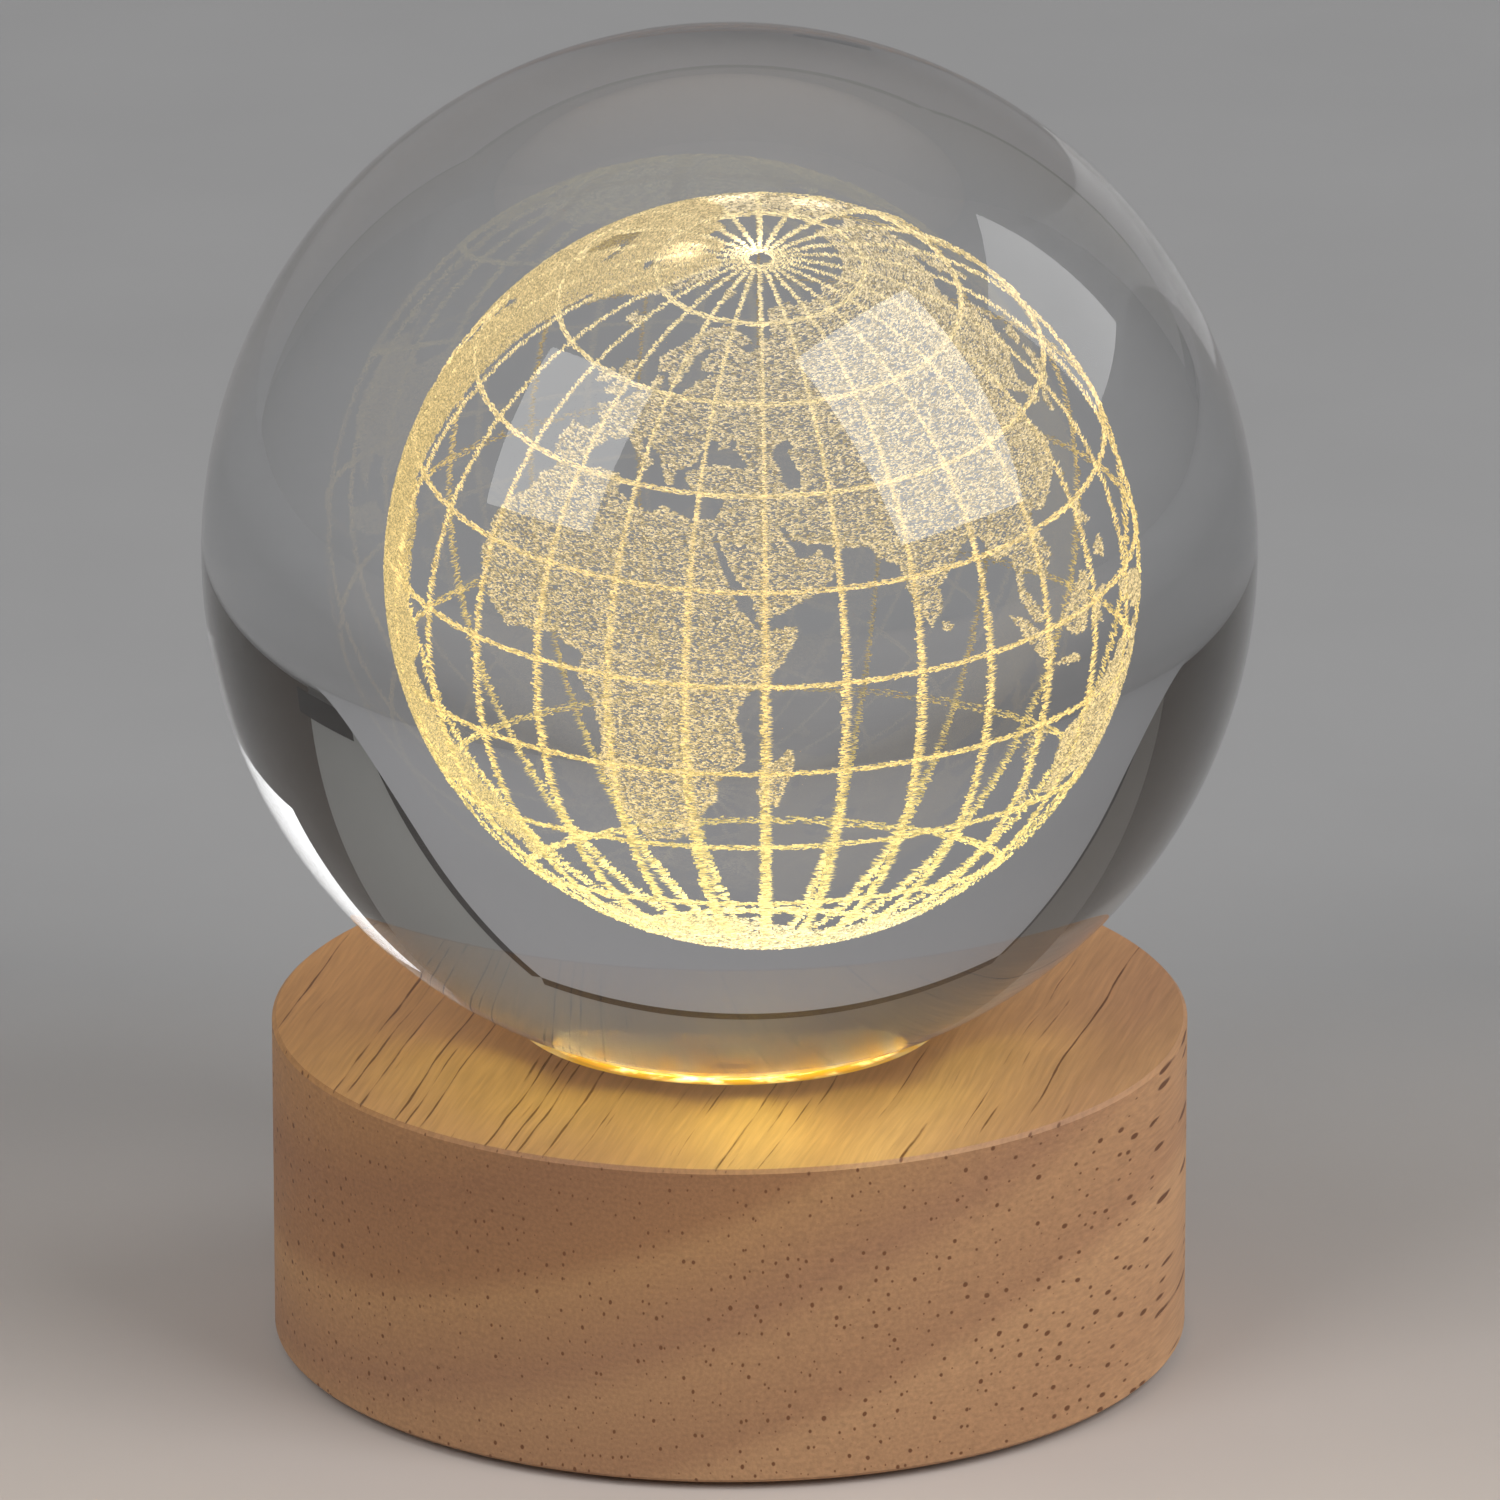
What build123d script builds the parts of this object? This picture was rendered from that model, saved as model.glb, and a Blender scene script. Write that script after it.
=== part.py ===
from build123d import *
import os
from math import cos, radians, sin, sqrt, tan

# Crystal ball lamp: a clear glass ball with an engraved globe, on a turned wooden base that lights it.
# Origin: centre of the foot pads' underside. +Z is up, and the viewer stands at -Y, so +Y is the rear.

# Driving dimensions, millimetres and degrees
ball_diameter = 80.0
ball_sink = 3.0
base_diameter = 70.0
base_height = 25.0
base_edge_break = 0.3
cover_recess = 0.2
overrun = 1.0

# Seat of the ball in the top of the base: a bore wider than the ball there, a clear ring and a window
seat_gap = 1.4
seat_fit = 0.1
seat_ring_wall = 3.6
seat_ring_recess = 0.5
ball_seat_clearance = 0.03
ball_window_gap = 0.5
window_thickness = 1.5
window_ledge = 2.6

# Hollow, cover and feet under the base
pocket_wall = 9.0
cover_rim = 4.0
cover_thickness = 2.0
cover_fit = 0.2
cover_screw_count = 3
cover_screw_first_angle = 30.0
foot_thickness = 0.8
foot_radius = 4.0
foot_inset = 9.0
foot_count = 4

# Light board and its lights
light_board_radius = 20.0
light_board_thickness = 1.6
light_board_screw_inset = 2.4
light_board_screw_count = 2
light_size = 5.0
light_height = 1.6
light_face_radius = 1.9
light_face_depth = 0.5
light_circle = 8.0
light_circle_count = 4
chip_length = 3.2
chip_width = 1.6
chip_height = 0.6
chip_circle = 10.0
chip_count = 2
chip_first_angle = 45.0
chip_angle_step = 90.0

# Control board with the power socket and the switch
control_board_thickness = 1.2
control_board_depth = 9.0
control_board_left = 13.0
control_board_right = 13.5
light_board_gap = 0.3
control_post_height = 2.4
control_post_radius = 2.2
control_tongue_width = 11.2
socket_x = 6.5
socket_setback = 3.0
socket_width = 7.5
socket_height = 2.6
socket_depth = 5.6
socket_wall = 0.3
socket_corner_radius = 0.8
socket_tongue_width = 4.2
socket_tongue_thickness = 0.6
socket_tongue_depth = 4.4
socket_contact_count = 5
socket_contact_pitch = 0.65
socket_contact_width = 0.4
socket_contact_thickness = 0.1
slot_width = 12.4
slot_height = 7.6
slot_corner_radius = 1.5

# Push switch and its button
switch_x = -8.0
switch_size = 5.8
switch_travel = 1.8
plunger_size = 3.2
plunger_fit = 0.1
plunger_inside = 1.0
plunger_grip = 1.8
button_radius = 3.1
button_fit = 0.1
button_proud = 2.4
button_flange_radius = 3.7
button_flange_thickness = 0.8
button_stop_gap = 0.3
button_board_gap = 0.3
button_edge_radius = 0.5
pin_width = 0.6
pin_drop = 2.0
pin_pitch = 2.0

# Screws
screw_radius = 1.0
screw_head_radius = 1.9
screw_head_height = 1.2
light_board_screw_length = 4.0
cover_screw_length = 7.0
control_screw_length = 4.2
screw_hole_fit = 0.1

# Inner leads, drawn with flat sides
lead_radius = 0.55
lead_sides = 6
lead_spread = 4.0
lead_front_y = -12.0
lead_low_height = 2.4
lead_bend_share = 0.45
solder_radius = 1.2
solder_height = 1.0
solder_fit = 0.05

# Globe engraved inside the glass
globe_radius = 18.7
globe_shift_right = 1.7
globe_shift_down = 1.1
globe_tilt = 4.4
facing_longitude = 45.0
facing_angle = -88.3
meridian_step = 15
parallel_step = 18
grid_line_width = 0.45
pole_disc_fit = 0.02
land_thickness = 0.4


def on_circle(radius, angle):
    return (radius * cos(radians(angle)), radius * sin(radians(angle)))


def wall_y(x, radius):
    """Distance to the rear at which a round wall stands, at a sideways place x."""
    return sqrt(radius**2 - x**2)


# Levels, counted up from the floor. The ball hangs a little way into its seat, and the window lies below it.
cover_bottom = foot_thickness
wood_bottom = cover_bottom - cover_recess
wood_top = wood_bottom + base_height
cover_top = cover_bottom + cover_thickness
ball_radius = ball_diameter / 2
ball_centre = wood_top + ball_radius - ball_sink
window_top = wood_top - ball_sink - ball_window_gap
seat_ledge = window_top - window_thickness
seat_ring_top = wood_top - seat_ring_recess
control_board_bottom = cover_top + control_post_height
control_board_top = control_board_bottom + control_board_thickness
socket_middle = control_board_top + socket_height / 2
switch_middle = control_board_top + switch_size / 2
light_board_bottom = switch_middle + button_flange_radius + light_board_gap
pocket_roof = light_board_bottom + light_board_thickness

# Radii, counted inwards from the base and outwards from the ball
base_radius = base_diameter / 2
pocket_radius = base_radius - pocket_wall
cover_radius = base_radius - cover_rim
rebate_radius = cover_radius + cover_fit
cover_screw_circle = (pocket_radius + cover_radius) / 2
foot_circle = cover_radius - foot_inset
seat_bore_radius = sqrt(ball_radius**2 - (ball_radius - ball_sink) ** 2) + seat_gap
seat_part_radius = seat_bore_radius - seat_fit
seat_ring_bore_radius = seat_bore_radius - seat_ring_wall
light_well_radius = seat_bore_radius - window_ledge
light_board_screw_circle = light_board_radius - light_board_screw_inset
screw_clear_radius = screw_radius + screw_hole_fit

# Places from the rear wall forwards: the button's flange, then the board that the pressed button clears
stop_x = abs(switch_x) + button_flange_radius
flange_rear_y = wall_y(stop_x, pocket_radius) - button_stop_gap
button_front_y = flange_rear_y - button_flange_thickness
button_tip_y = wall_y(switch_x, base_radius) + button_proud
control_board_rear = button_front_y - switch_travel - button_board_gap
control_board_front = control_board_rear - control_board_depth
switch_rear_y = control_board_rear
socket_mouth_y = base_radius - socket_setback

# Places of the control board's screws, as shares of its half width and of its depth
control_screw_shares = [(-0.12, 0.70), (0.80, 0.45)]
control_screw_places = [
    (across * control_board_right, control_board_front + along * control_board_depth)
    for across, along in control_screw_shares
]

# Lead pads on the control board, as shares of the same sizes
red_pad_share = 0.15
black_pad_share = 0.42
pad_along_share = 0.2
red_pad_x = red_pad_share * control_board_right
black_pad_x = black_pad_share * control_board_right
pad_y = control_board_front + pad_along_share * control_board_depth


def screw(place, seat, length, upward):
    """A screw whose head rests on the seat level; upward means that its tip points up."""
    x, y = place
    way = 1 if upward else -1
    with BuildPart() as piece:
        with BuildSketch(Plane.XY.offset(seat)):
            with Locations((x, y)):
                Circle(screw_radius)
        extrude(amount=way * length)
        with BuildSketch(Plane.XY.offset(seat)):
            with Locations((x, y)):
                Circle(screw_head_radius)
        extrude(amount=-way * screw_head_height)
    return piece.part


light_board_screw_places = [
    on_circle(light_board_screw_circle, 360 * i / light_board_screw_count)
    for i in range(light_board_screw_count)
]
cover_screw_places = [
    on_circle(cover_screw_circle, cover_screw_first_angle + 360 * i / cover_screw_count)
    for i in range(cover_screw_count)
]

# Turned base, with the seat bore above, the routed pocket below, and the rear slot and button hole
with BuildPart() as wooden_base:
    with BuildSketch(Plane.XY.offset(wood_bottom)):
        Circle(base_radius)
    extrude(amount=base_height)
    chamfer(wooden_base.edges().filter_by(GeomType.CIRCLE), length=base_edge_break)
    with BuildSketch(Plane.XY.offset(seat_ledge)):
        Circle(seat_bore_radius)
    extrude(amount=wood_top - seat_ledge + overrun, mode=Mode.SUBTRACT)
    with BuildSketch(Plane.XY.offset(wood_bottom - overrun)):
        Circle(light_well_radius)
    extrude(amount=base_height, mode=Mode.SUBTRACT)
    with BuildSketch(Plane.XY.offset(wood_bottom - overrun)):
        Circle(pocket_radius)
    extrude(amount=pocket_roof - wood_bottom + overrun, mode=Mode.SUBTRACT)
    with BuildSketch(Plane.XY.offset(wood_bottom - overrun)):
        Circle(rebate_radius)
    extrude(amount=cover_top - wood_bottom + overrun, mode=Mode.SUBTRACT)
    with BuildSketch(Plane.XZ.offset(-(base_radius + overrun))):
        with Locations((socket_x, socket_middle)):
            RectangleRounded(slot_width, slot_height, slot_corner_radius)
    extrude(amount=base_radius + overrun - control_board_rear, mode=Mode.SUBTRACT)
    with BuildSketch(Plane.XZ.offset(-(base_radius + overrun))):
        with Locations((switch_x, switch_middle)):
            Circle(button_radius + button_fit)
    extrude(amount=base_radius + overrun - control_board_rear, mode=Mode.SUBTRACT)
    with BuildSketch(Plane.XY.offset(cover_top - overrun)):
        with Locations(*cover_screw_places):
            Circle(screw_radius)
    extrude(amount=cover_screw_length + overrun, mode=Mode.SUBTRACT)
    with BuildSketch(Plane.XY.offset(pocket_roof - overrun)):
        with Locations(*light_board_screw_places):
            Circle(screw_radius)
    extrude(amount=light_board_screw_length - light_board_thickness + overrun, mode=Mode.SUBTRACT)

# Frosted window over the light well
with BuildPart() as light_window:
    with BuildSketch(Plane.XY.offset(seat_ledge)):
        Circle(seat_part_radius)
    extrude(amount=window_thickness)

# Clear ring that carries the ball on a hollow-ground seat
with BuildPart() as seat_ring:
    with BuildSketch(Plane.XY.offset(window_top)):
        Circle(seat_part_radius)
        Circle(seat_ring_bore_radius, mode=Mode.SUBTRACT)
    extrude(amount=seat_ring_top - window_top)
    with Locations((0, 0, ball_centre)):
        Sphere(ball_radius + ball_seat_clearance, mode=Mode.SUBTRACT)

# Glass ball
with BuildPart() as crystal_ball:
    with Locations((0, 0, ball_centre)):
        Sphere(ball_radius)

# Place of the engraved globe: its pole tips towards the viewer, and one meridian faces the viewer
globe_turn = facing_angle - facing_longitude
globe_centre = (globe_shift_right, 0, ball_centre - globe_shift_down)
globe_location = Location(globe_centre, (globe_tilt, 0, globe_turn))
globe_plane = Plane(globe_location)
meridian_ring_count = 180 // meridian_step
parallels_each_side = 90 // parallel_step - 1
pole_disc_radius = grid_line_width / sin(radians(meridian_step))
pole_disc_drop = pole_disc_radius * tan(radians(parallel_step / 2)) / 2

# Grid of the globe, in straight chords between its crossings: first the rings through both poles
with BuildPart() as engraved_meridians:
    for i in range(meridian_ring_count):
        standing = Location((0, 0, 0), (0, 0, i * meridian_step)) * Location((0, 0, 0), (90, 0, 0))
        with BuildSketch(Plane(globe_location * standing)):
            RegularPolygon(globe_radius + grid_line_width / 2, 360 // parallel_step)
            RegularPolygon(globe_radius - grid_line_width / 2, 360 // parallel_step, mode=Mode.SUBTRACT)
    extrude(amount=grid_line_width / 2, both=True)
    with BuildSketch(globe_plane):
        RegularPolygon(pole_disc_radius, 360 // meridian_step, rotation=meridian_step / 2)
    extrude(amount=globe_radius + overrun, both=True, mode=Mode.SUBTRACT)
    for side in (-1, 1):
        with BuildSketch(globe_plane.offset(side * (globe_radius - pole_disc_drop))):
            RegularPolygon(pole_disc_radius - pole_disc_fit, 360 // meridian_step, rotation=meridian_step / 2)
        extrude(amount=grid_line_width / 2, both=True)

# Rings round the pole's axis
with BuildPart() as engraved_parallels:
    for i in range(-parallels_each_side, parallels_each_side + 1):
        latitude = radians(i * parallel_step)
        ring_radius = globe_radius * cos(latitude)
        with BuildSketch(globe_plane.offset(globe_radius * sin(latitude))):
            RegularPolygon(ring_radius + grid_line_width / 2, 360 // meridian_step)
            RegularPolygon(ring_radius - grid_line_width / 2, 360 // meridian_step, mode=Mode.SUBTRACT)
    extrude(amount=grid_line_width / 2, both=True)

# Outlines of the land in degrees east and north, drawn by hand from general geography.
# Each name gives the place it is projected from, and then its coast in order.
land_outlines = {
    "africa": ((18, 3), [
        (-6, 36), (-2, 35), (3, 37), (10, 37), (11, 34), (15, 32), (20, 31), (22, 33), (29, 31),
        (32.6, 31.1), (32.6, 29.9), (34, 27), (35.5, 24), (37.3, 20), (39.5, 15.5), (43, 11.5),
        (45, 10.5), (51, 12), (50.8, 9.5), (48, 5), (45.5, 2), (42.5, -0.5), (39.7, -4),
        (39.3, -7), (40.5, -11), (40.6, -15), (35, -20), (35.5, -24), (32.8, -26), (31, -30),
        (28, -33), (25.5, -34), (20, -35), (18.3, -34), (18, -32), (15.2, -27), (14.3, -23),
        (12, -18), (13.5, -12.5), (13, -9), (12, -5), (9, -1), (9.8, 3), (8, 4.5), (6, 4.3),
        (4, 6.4), (0, 5.5), (-4, 5.2), (-7.5, 4.4), (-13, 8.5), (-17.3, 14.7), (-16.3, 19),
        (-17, 21), (-14.5, 26), (-11.5, 28.3), (-9.7, 30.5), (-9, 32.5), (-6.8, 34),
    ]),
    "europe_and_arabia": ((28, 45), [
        (32.6, 31.1), (34.3, 31.3), (35.5, 33.8), (36, 36.5), (32.5, 36.1), (30.5, 36.5),
        (28, 36.8), (26.5, 38.5), (26.3, 39.9), (29.2, 41), (31.5, 41.3), (35, 42), (38, 41),
        (41.5, 41.6), (39.7, 43.5), (37.5, 45), (38.5, 47), (35, 46.3), (36, 45.2),
        (33.7, 44.5), (33, 46), (31, 46.6), (29.7, 45), (28, 43.3), (28.2, 41.9), (26.1, 40.7),
        (23.5, 40.2), (23.5, 38.3), (22.8, 36.6), (21.5, 37.5), (19.5, 40.5), (19, 42),
        (15.5, 44), (13.7, 45.5), (12.5, 44.5), (14, 42.5), (16, 41.8), (18.4, 40),
        (16.8, 40.4), (16.2, 38), (15.5, 40), (12.4, 41.7), (10.3, 43.5), (8.8, 44.4),
        (6, 43.1), (3.2, 43.2), (3, 41.8), (0, 39.8), (-0.5, 38), (-2, 36.8), (-5.5, 36.3),
        (-8.8, 37), (-9.3, 39), (-8.8, 43), (-2, 43.5), (-1.3, 45.5), (-4.5, 48), (-1.6, 49),
        (1.6, 50.5), (4.5, 52.5), (8.5, 53.8), (8.2, 57), (10.5, 57.6), (10.8, 54.5), (14, 54),
        (19, 54.5), (21, 56.5), (24, 58.5), (29, 60), (22.8, 60), (21.5, 62), (25.2, 65),
        (22, 65.7), (17.5, 62), (18, 60), (16.3, 57), (14, 55.5), (11.5, 58.8), (7.5, 58),
        (5, 61), (10, 64), (14.5, 68), (20, 70), (28, 71), (40.8, 67.5), (34, 66.5), (40, 64.7),
        (44, 66.2), (46, 68.2), (54, 68.8), (60, 69.4), (60, 25.3), (57, 26.8), (54, 26.6),
        (51, 28), (49, 30.2), (48, 29.8), (50, 27), (51.5, 24.5), (54, 24.2), (56.3, 26),
        (57, 23.8), (59.8, 22.5), (57.5, 19), (52, 16), (45, 12.8), (43.3, 13), (42.7, 16.5),
        (39, 21), (36, 26), (34.9, 29.4), (34.2, 27.9), (32.6, 29.9),
    ]),
    "middle_asia": ((76, 45), [
        (60, 69.4), (68, 68.8), (67.5, 72.5), (73, 71.5), (80, 72.5), (87, 75), (92, 75.6),
        (92, 21.5), (90, 22), (87, 21.2), (82, 16.5), (80.2, 15), (80, 11), (77.5, 8),
        (76, 10.5), (73.5, 16), (72.7, 20.5), (69, 22.3), (66.8, 25), (60, 25.3),
    ]),
    "east_asia": ((125, 42), [
        (92, 75.6), (98, 76.3), (104, 77.6), (113, 74), (127, 73), (140, 72.6), (152, 71),
        (160, 69.8), (171, 69.8), (180, 68.8), (190, 66), (179, 62.3), (170, 60), (163, 58),
        (162, 55), (157, 51), (155.8, 57), (161, 61), (156, 61), (150, 59.5), (143, 59.3),
        (135.5, 54.6), (141, 52.5), (140, 48.5), (135, 43.5), (131, 42.8), (127.7, 40),
        (129.3, 37), (128.5, 34.8), (126.5, 35), (126, 38), (121.5, 40.8), (118, 39), (122, 37),
        (119.5, 35), (121.8, 31.5), (121.5, 28.5), (118, 24.5), (114, 22.5), (110.3, 20.5),
        (108, 21.6), (106, 19.5), (109, 13), (106.5, 10), (105, 8.8), (105, 10.5), (101, 13),
        (99.3, 10), (103.4, 4), (103.8, 1.4), (101.3, 2.8), (98.3, 8), (98.5, 13), (97.5, 16.5),
        (94.3, 16), (92, 21.5),
    ]),
    "north_america": ((-100, 45), [
        (-168, 65.6), (-161, 66.3), (-163, 69), (-156.5, 71.2), (-141, 69.7), (-128, 70.2),
        (-115, 68), (-108, 68), (-96, 68), (-94, 71.5), (-88, 68.5), (-82, 68), (-85, 66),
        (-94, 61), (-93, 58.7), (-88, 56.8), (-82.3, 55), (-80, 51.3), (-76.5, 57.2),
        (-78, 62.4), (-70, 61), (-65, 59), (-61.5, 56.5), (-56, 52.5), (-60, 50.2),
        (-66.5, 50.2), (-65, 48), (-61, 45.7), (-66, 43.7), (-70.3, 43.4), (-74, 40.5),
        (-75.8, 37), (-76, 35), (-81, 31.8), (-80.1, 26.5), (-81.2, 25.2), (-82.7, 28.5),
        (-85, 29.7), (-90, 29.3), (-94, 29.6), (-97.3, 27.5), (-97.7, 22.3), (-95.5, 18.6),
        (-91, 18.7), (-90, 21), (-87, 21.4), (-88.3, 17), (-88, 15.8), (-83.3, 15), (-83.6, 11),
        (-79.8, 9.5), (-77.4, 8.6), (-77.9, 7.4), (-80.5, 7.4), (-83.5, 8.7), (-87.5, 13),
        (-94, 16), (-100, 17), (-105.5, 20.3), (-109, 25.8), (-113, 31.3), (-114.7, 31.5),
        (-111.2, 26), (-109.6, 23), (-112.2, 25.8), (-115, 29.5), (-117.2, 33), (-120.6, 34.6),
        (-124.2, 40.3), (-124, 47), (-127.5, 51), (-131, 55), (-137, 58.8), (-147, 60.8),
        (-152, 59.3), (-158, 56.3), (-164, 54.8), (-158, 58.6), (-162, 60), (-165.5, 62),
        (-161, 64.3),
    ]),
    "south_america": ((-60, -18), [
        (-77.4, 8.6), (-75.5, 10.8), (-71.7, 12.3), (-68, 11.7), (-62, 10.7), (-57.5, 6.3),
        (-51.5, 4.2), (-50, 0.5), (-44, -2.7), (-38.5, -3.8), (-35.2, -5.8), (-35, -9),
        (-39, -13.5), (-39.5, -18), (-41, -22), (-45, -23.6), (-48.6, -26.5), (-50, -30),
        (-53.5, -34), (-58.3, -34), (-56.8, -36.5), (-62.2, -39), (-65, -41.5), (-65.5, -45),
        (-65.8, -48.2), (-69, -51), (-65.5, -54.8), (-71, -54.8), (-75, -51), (-75.5, -47),
        (-73.3, -41.8), (-73.5, -37), (-71.5, -32.5), (-70.3, -24), (-70.3, -18.3), (-76, -14),
        (-79.5, -8), (-81.3, -4.5), (-80, -2.5), (-80.5, 0), (-78.8, 2), (-77.3, 4),
        (-77.9, 7.4),
    ]),
    "greenland": ((-42, 72), [
        (-73, 78.2), (-68, 80.3), (-60, 82), (-45, 82.8), (-32, 83.5), (-18, 81.5), (-19, 77),
        (-22, 72), (-33, 67.5), (-39.5, 65.3), (-43.5, 60), (-48, 61.2), (-52, 64.2),
        (-53.5, 67.5), (-51, 70), (-55, 72), (-60, 75.5), (-68, 76.2),
    ]),
    "baffin_island": ((-74, 68), [
        (-64.7, 61.8), (-72, 64), (-77, 65.3), (-73, 68), (-80, 70), (-89, 70.5), (-88, 73.3),
        (-80, 73.6), (-72, 71.4), (-61.5, 66.5),
    ]),
    "ellesmere_island": ((-80, 80), [
        (-80, 76.3), (-88, 76.5), (-90, 80), (-80, 82.8), (-65, 82.8), (-75, 79),
    ]),
    "victoria_island": ((-110, 71), [
        (-105, 69.2), (-115, 69.4), (-117, 71.5), (-110, 73), (-104, 71),
    ]),
    "australia": ((134, -25), [
        (114, -22), (113.5, -26), (115.6, -31.5), (115, -34.3), (118, -35), (124, -33),
        (131, -31.5), (135.5, -34.9), (138, -33), (138.5, -35.5), (140.5, -38), (143.7, -38.7),
        (147, -38.5), (150, -37.3), (151.5, -33), (153.3, -29), (153, -25.3), (149.5, -22),
        (146, -18.8), (145.3, -15), (142.5, -10.8), (141.6, -14), (140.5, -17.5), (136, -15.5),
        (136.8, -12.2), (132.5, -11.3), (130, -13.5), (127.5, -14.2), (122.3, -17.5),
        (118.5, -20.4),
    ]),
    "antarctica": ((0, -90), [
        (-58, -63.5), (-62, -74), (-45, -78), (-30, -76), (-10, -71), (20, -70), (50, -66.5),
        (70, -69), (90, -66.5), (110, -66), (135, -66), (150, -68.5), (170, -71.5),
        (165, -77.5), (-160, -78.5), (-130, -74.5), (-100, -73), (-75, -72), (-68, -67),
    ]),
    "madagascar": ((47, -19), [
        (49.3, -12.1), (50.4, -15.6), (47.2, -25), (44, -25), (43.4, -22), (44.4, -16.4),
        (47.5, -14.8),
    ]),
    "great_britain": ((-3, 54), [
        (-5.6, 50.1), (1.3, 51.2), (0.2, 53), (-2, 55.8), (-1.9, 57.6), (-3.2, 58.6),
        (-5.8, 57.5), (-5, 54.9), (-3, 53.6), (-4.8, 52),
    ]),
    "ireland": ((-8, 53.5), [(-10, 51.8), (-6.3, 52.3), (-6.2, 54.5), (-8, 55.2), (-10, 53.5)]),
    "iceland": ((-18, 65), [(-22.5, 64), (-18.5, 63.4), (-13.7, 65), (-16, 66.4), (-22.5, 66.3)]),
    "svalbard": ((17, 78.5), [(12, 78.2), (17, 76.8), (22, 79.5), (14, 79.8)]),
    "novaya_zemlya": ((58, 73.5), [(52, 71.5), (56, 70.7), (58, 73.5), (68, 76.7), (57, 75)]),
    "honshu": ((137, 36), [
        (130.2, 33.3), (131, 34.3), (136, 35.8), (140, 39.5), (141.2, 41.4), (141.8, 39.3),
        (140.8, 36), (137, 34.6), (134, 34.4), (131.7, 33), (131.2, 31.4), (130.2, 31.4),
    ]),
    "hokkaido": ((143, 43.5), [(140.2, 41.8), (141.8, 45.3), (145.3, 43.6), (143.2, 42)]),
    "sakhalin": ((143, 50), [(142, 46.5), (143.6, 49), (143, 54), (142.2, 53)]),
    "taiwan": ((121, 23.6), [(120.2, 23), (121.6, 25.2), (121, 22)]),
    "luzon": ((121.5, 16), [
        (120.6, 18.5), (122.3, 18.4), (121.7, 15.5), (124, 13), (121, 13.7), (120, 15),
    ]),
    "mindanao": ((124.5, 7.8), [
        (122.2, 7), (123.5, 8.6), (125.5, 9.7), (126.5, 7.3), (125.5, 5.8), (124, 7),
    ]),
    "borneo": ((114, 1), [
        (109, 1.6), (111.3, 2.3), (115, 5), (117, 6.8), (119, 5.2), (117.7, 2), (117.5, -0.6),
        (115.9, -3.8), (111.8, -3.3), (109.6, -1),
    ]),
    "sumatra": ((101, 0), [
        (95.4, 5.6), (98.5, 4), (103.7, -1), (106, -3), (105.7, -5.8), (102.3, -4), (99, 0),
        (97, 3.2),
    ]),
    "java": ((110, -7.3), [
        (105.3, -6.7), (108.6, -6.7), (112.7, -6.9), (114.4, -7.8), (114.3, -8.7),
        (108.5, -7.8),
    ]),
    "sulawesi": ((121.5, -2), [
        (119.8, 0.8), (125, 1.5), (124, 0.4), (120.4, 0.4), (120.9, -1.3), (123.2, -0.9),
        (121.8, -2), (122.6, -4.6), (121, -3), (120.4, -5.5), (119.4, -5.4), (119, -3),
    ]),
    "new_guinea": ((141, -5), [
        (131, -1), (134, -1), (137.5, -1.6), (144, -3.9), (147.5, -6.2), (150.5, -10.4),
        (147, -9.6), (143, -9.2), (139, -8), (137, -4.9), (133, -3.9),
    ]),
    "tasmania": ((146.5, -42), [(144.8, -40.9), (148.2, -41), (147.5, -43.3), (145.8, -43.2)]),
    "north_island": ((175.5, -38.5), [(173, -34.6), (178.2, -37.7), (175.5, -41.5), (174, -39.2)]),
    "south_island": ((170, -44), [
        (172.8, -40.7), (174, -41.5), (171, -45), (168.5, -46.6), (166.7, -45.8),
    ]),
    "sri_lanka": ((80.7, 7.5), [(79.9, 9), (81.8, 7.3), (80.6, 6), (79.8, 7)]),
    "cuba": ((-79.5, 21.5), [(-84.8, 21.9), (-80, 23.1), (-74.3, 20.4), (-77.7, 20)]),
    "hispaniola": ((-71.5, 19), [(-74.3, 18.4), (-72, 19.9), (-68.5, 18.5)]),
}
caspian_sea = ((50, 42), [
    (47.5, 43), (47, 45), (51, 47), (53, 45), (50.8, 44.3), (53, 42), (53.8, 39), (53.8, 37),
    (50.3, 37.4), (49, 38.5), (49.5, 40.3), (47.8, 42.5),
])

land_near_share = 0.4


def faceted_globe(radius):
    """A globe whose faces lie flat between the crossings of the grid, with a small flat at each pole."""
    with BuildPart() as solid:
        for i in range(-parallels_each_side - 1, parallels_each_side + 2):
            latitude = radians(i * parallel_step)
            with BuildSketch(globe_plane.offset(radius * sin(latitude))):
                RegularPolygon(max(radius * cos(latitude), grid_line_width / 2), 360 // meridian_step)
        loft(ruled=True)
    return solid.part


land_outside = faceted_globe(globe_radius + land_thickness / 2)
land_inside = faceted_globe(globe_radius - land_thickness / 2)


def looking_from(view):
    """Plane through the globe's centre whose normal points at a place given in degrees east and north."""
    east, north = view
    turned = globe_location * Location((0, 0, 0), (0, 0, east))
    return Plane(turned * Location((0, 0, 0), (0, 90 - north, 0)))


def projected(view, coast, distance):
    """Points of a coast, projected from the globe's centre on the plane at a distance from it."""
    view_east, view_north = (radians(angle) for angle in view)
    points = []
    for east, north in coast:
        turn = radians(east) - view_east
        north = radians(north)
        towards = sin(north) * sin(view_north) + cos(north) * cos(view_north) * cos(turn)
        sideways = cos(north) * sin(turn)
        upwards = cos(view_north) * sin(north) - sin(view_north) * cos(north) * cos(turn)
        points.append((-upwards / towards * distance, sideways / towards * distance))
    return points


def spread(view, coast):
    """A block that widens outwards from near the globe's centre, in the shape of a coast."""
    with BuildPart() as block:
        for distance in (globe_radius * land_near_share, globe_radius + overrun):
            with BuildSketch(looking_from(view).offset(distance)):
                Polygon(*projected(view, coast, distance), align=None)
        loft(ruled=True)
    return block.part


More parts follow.
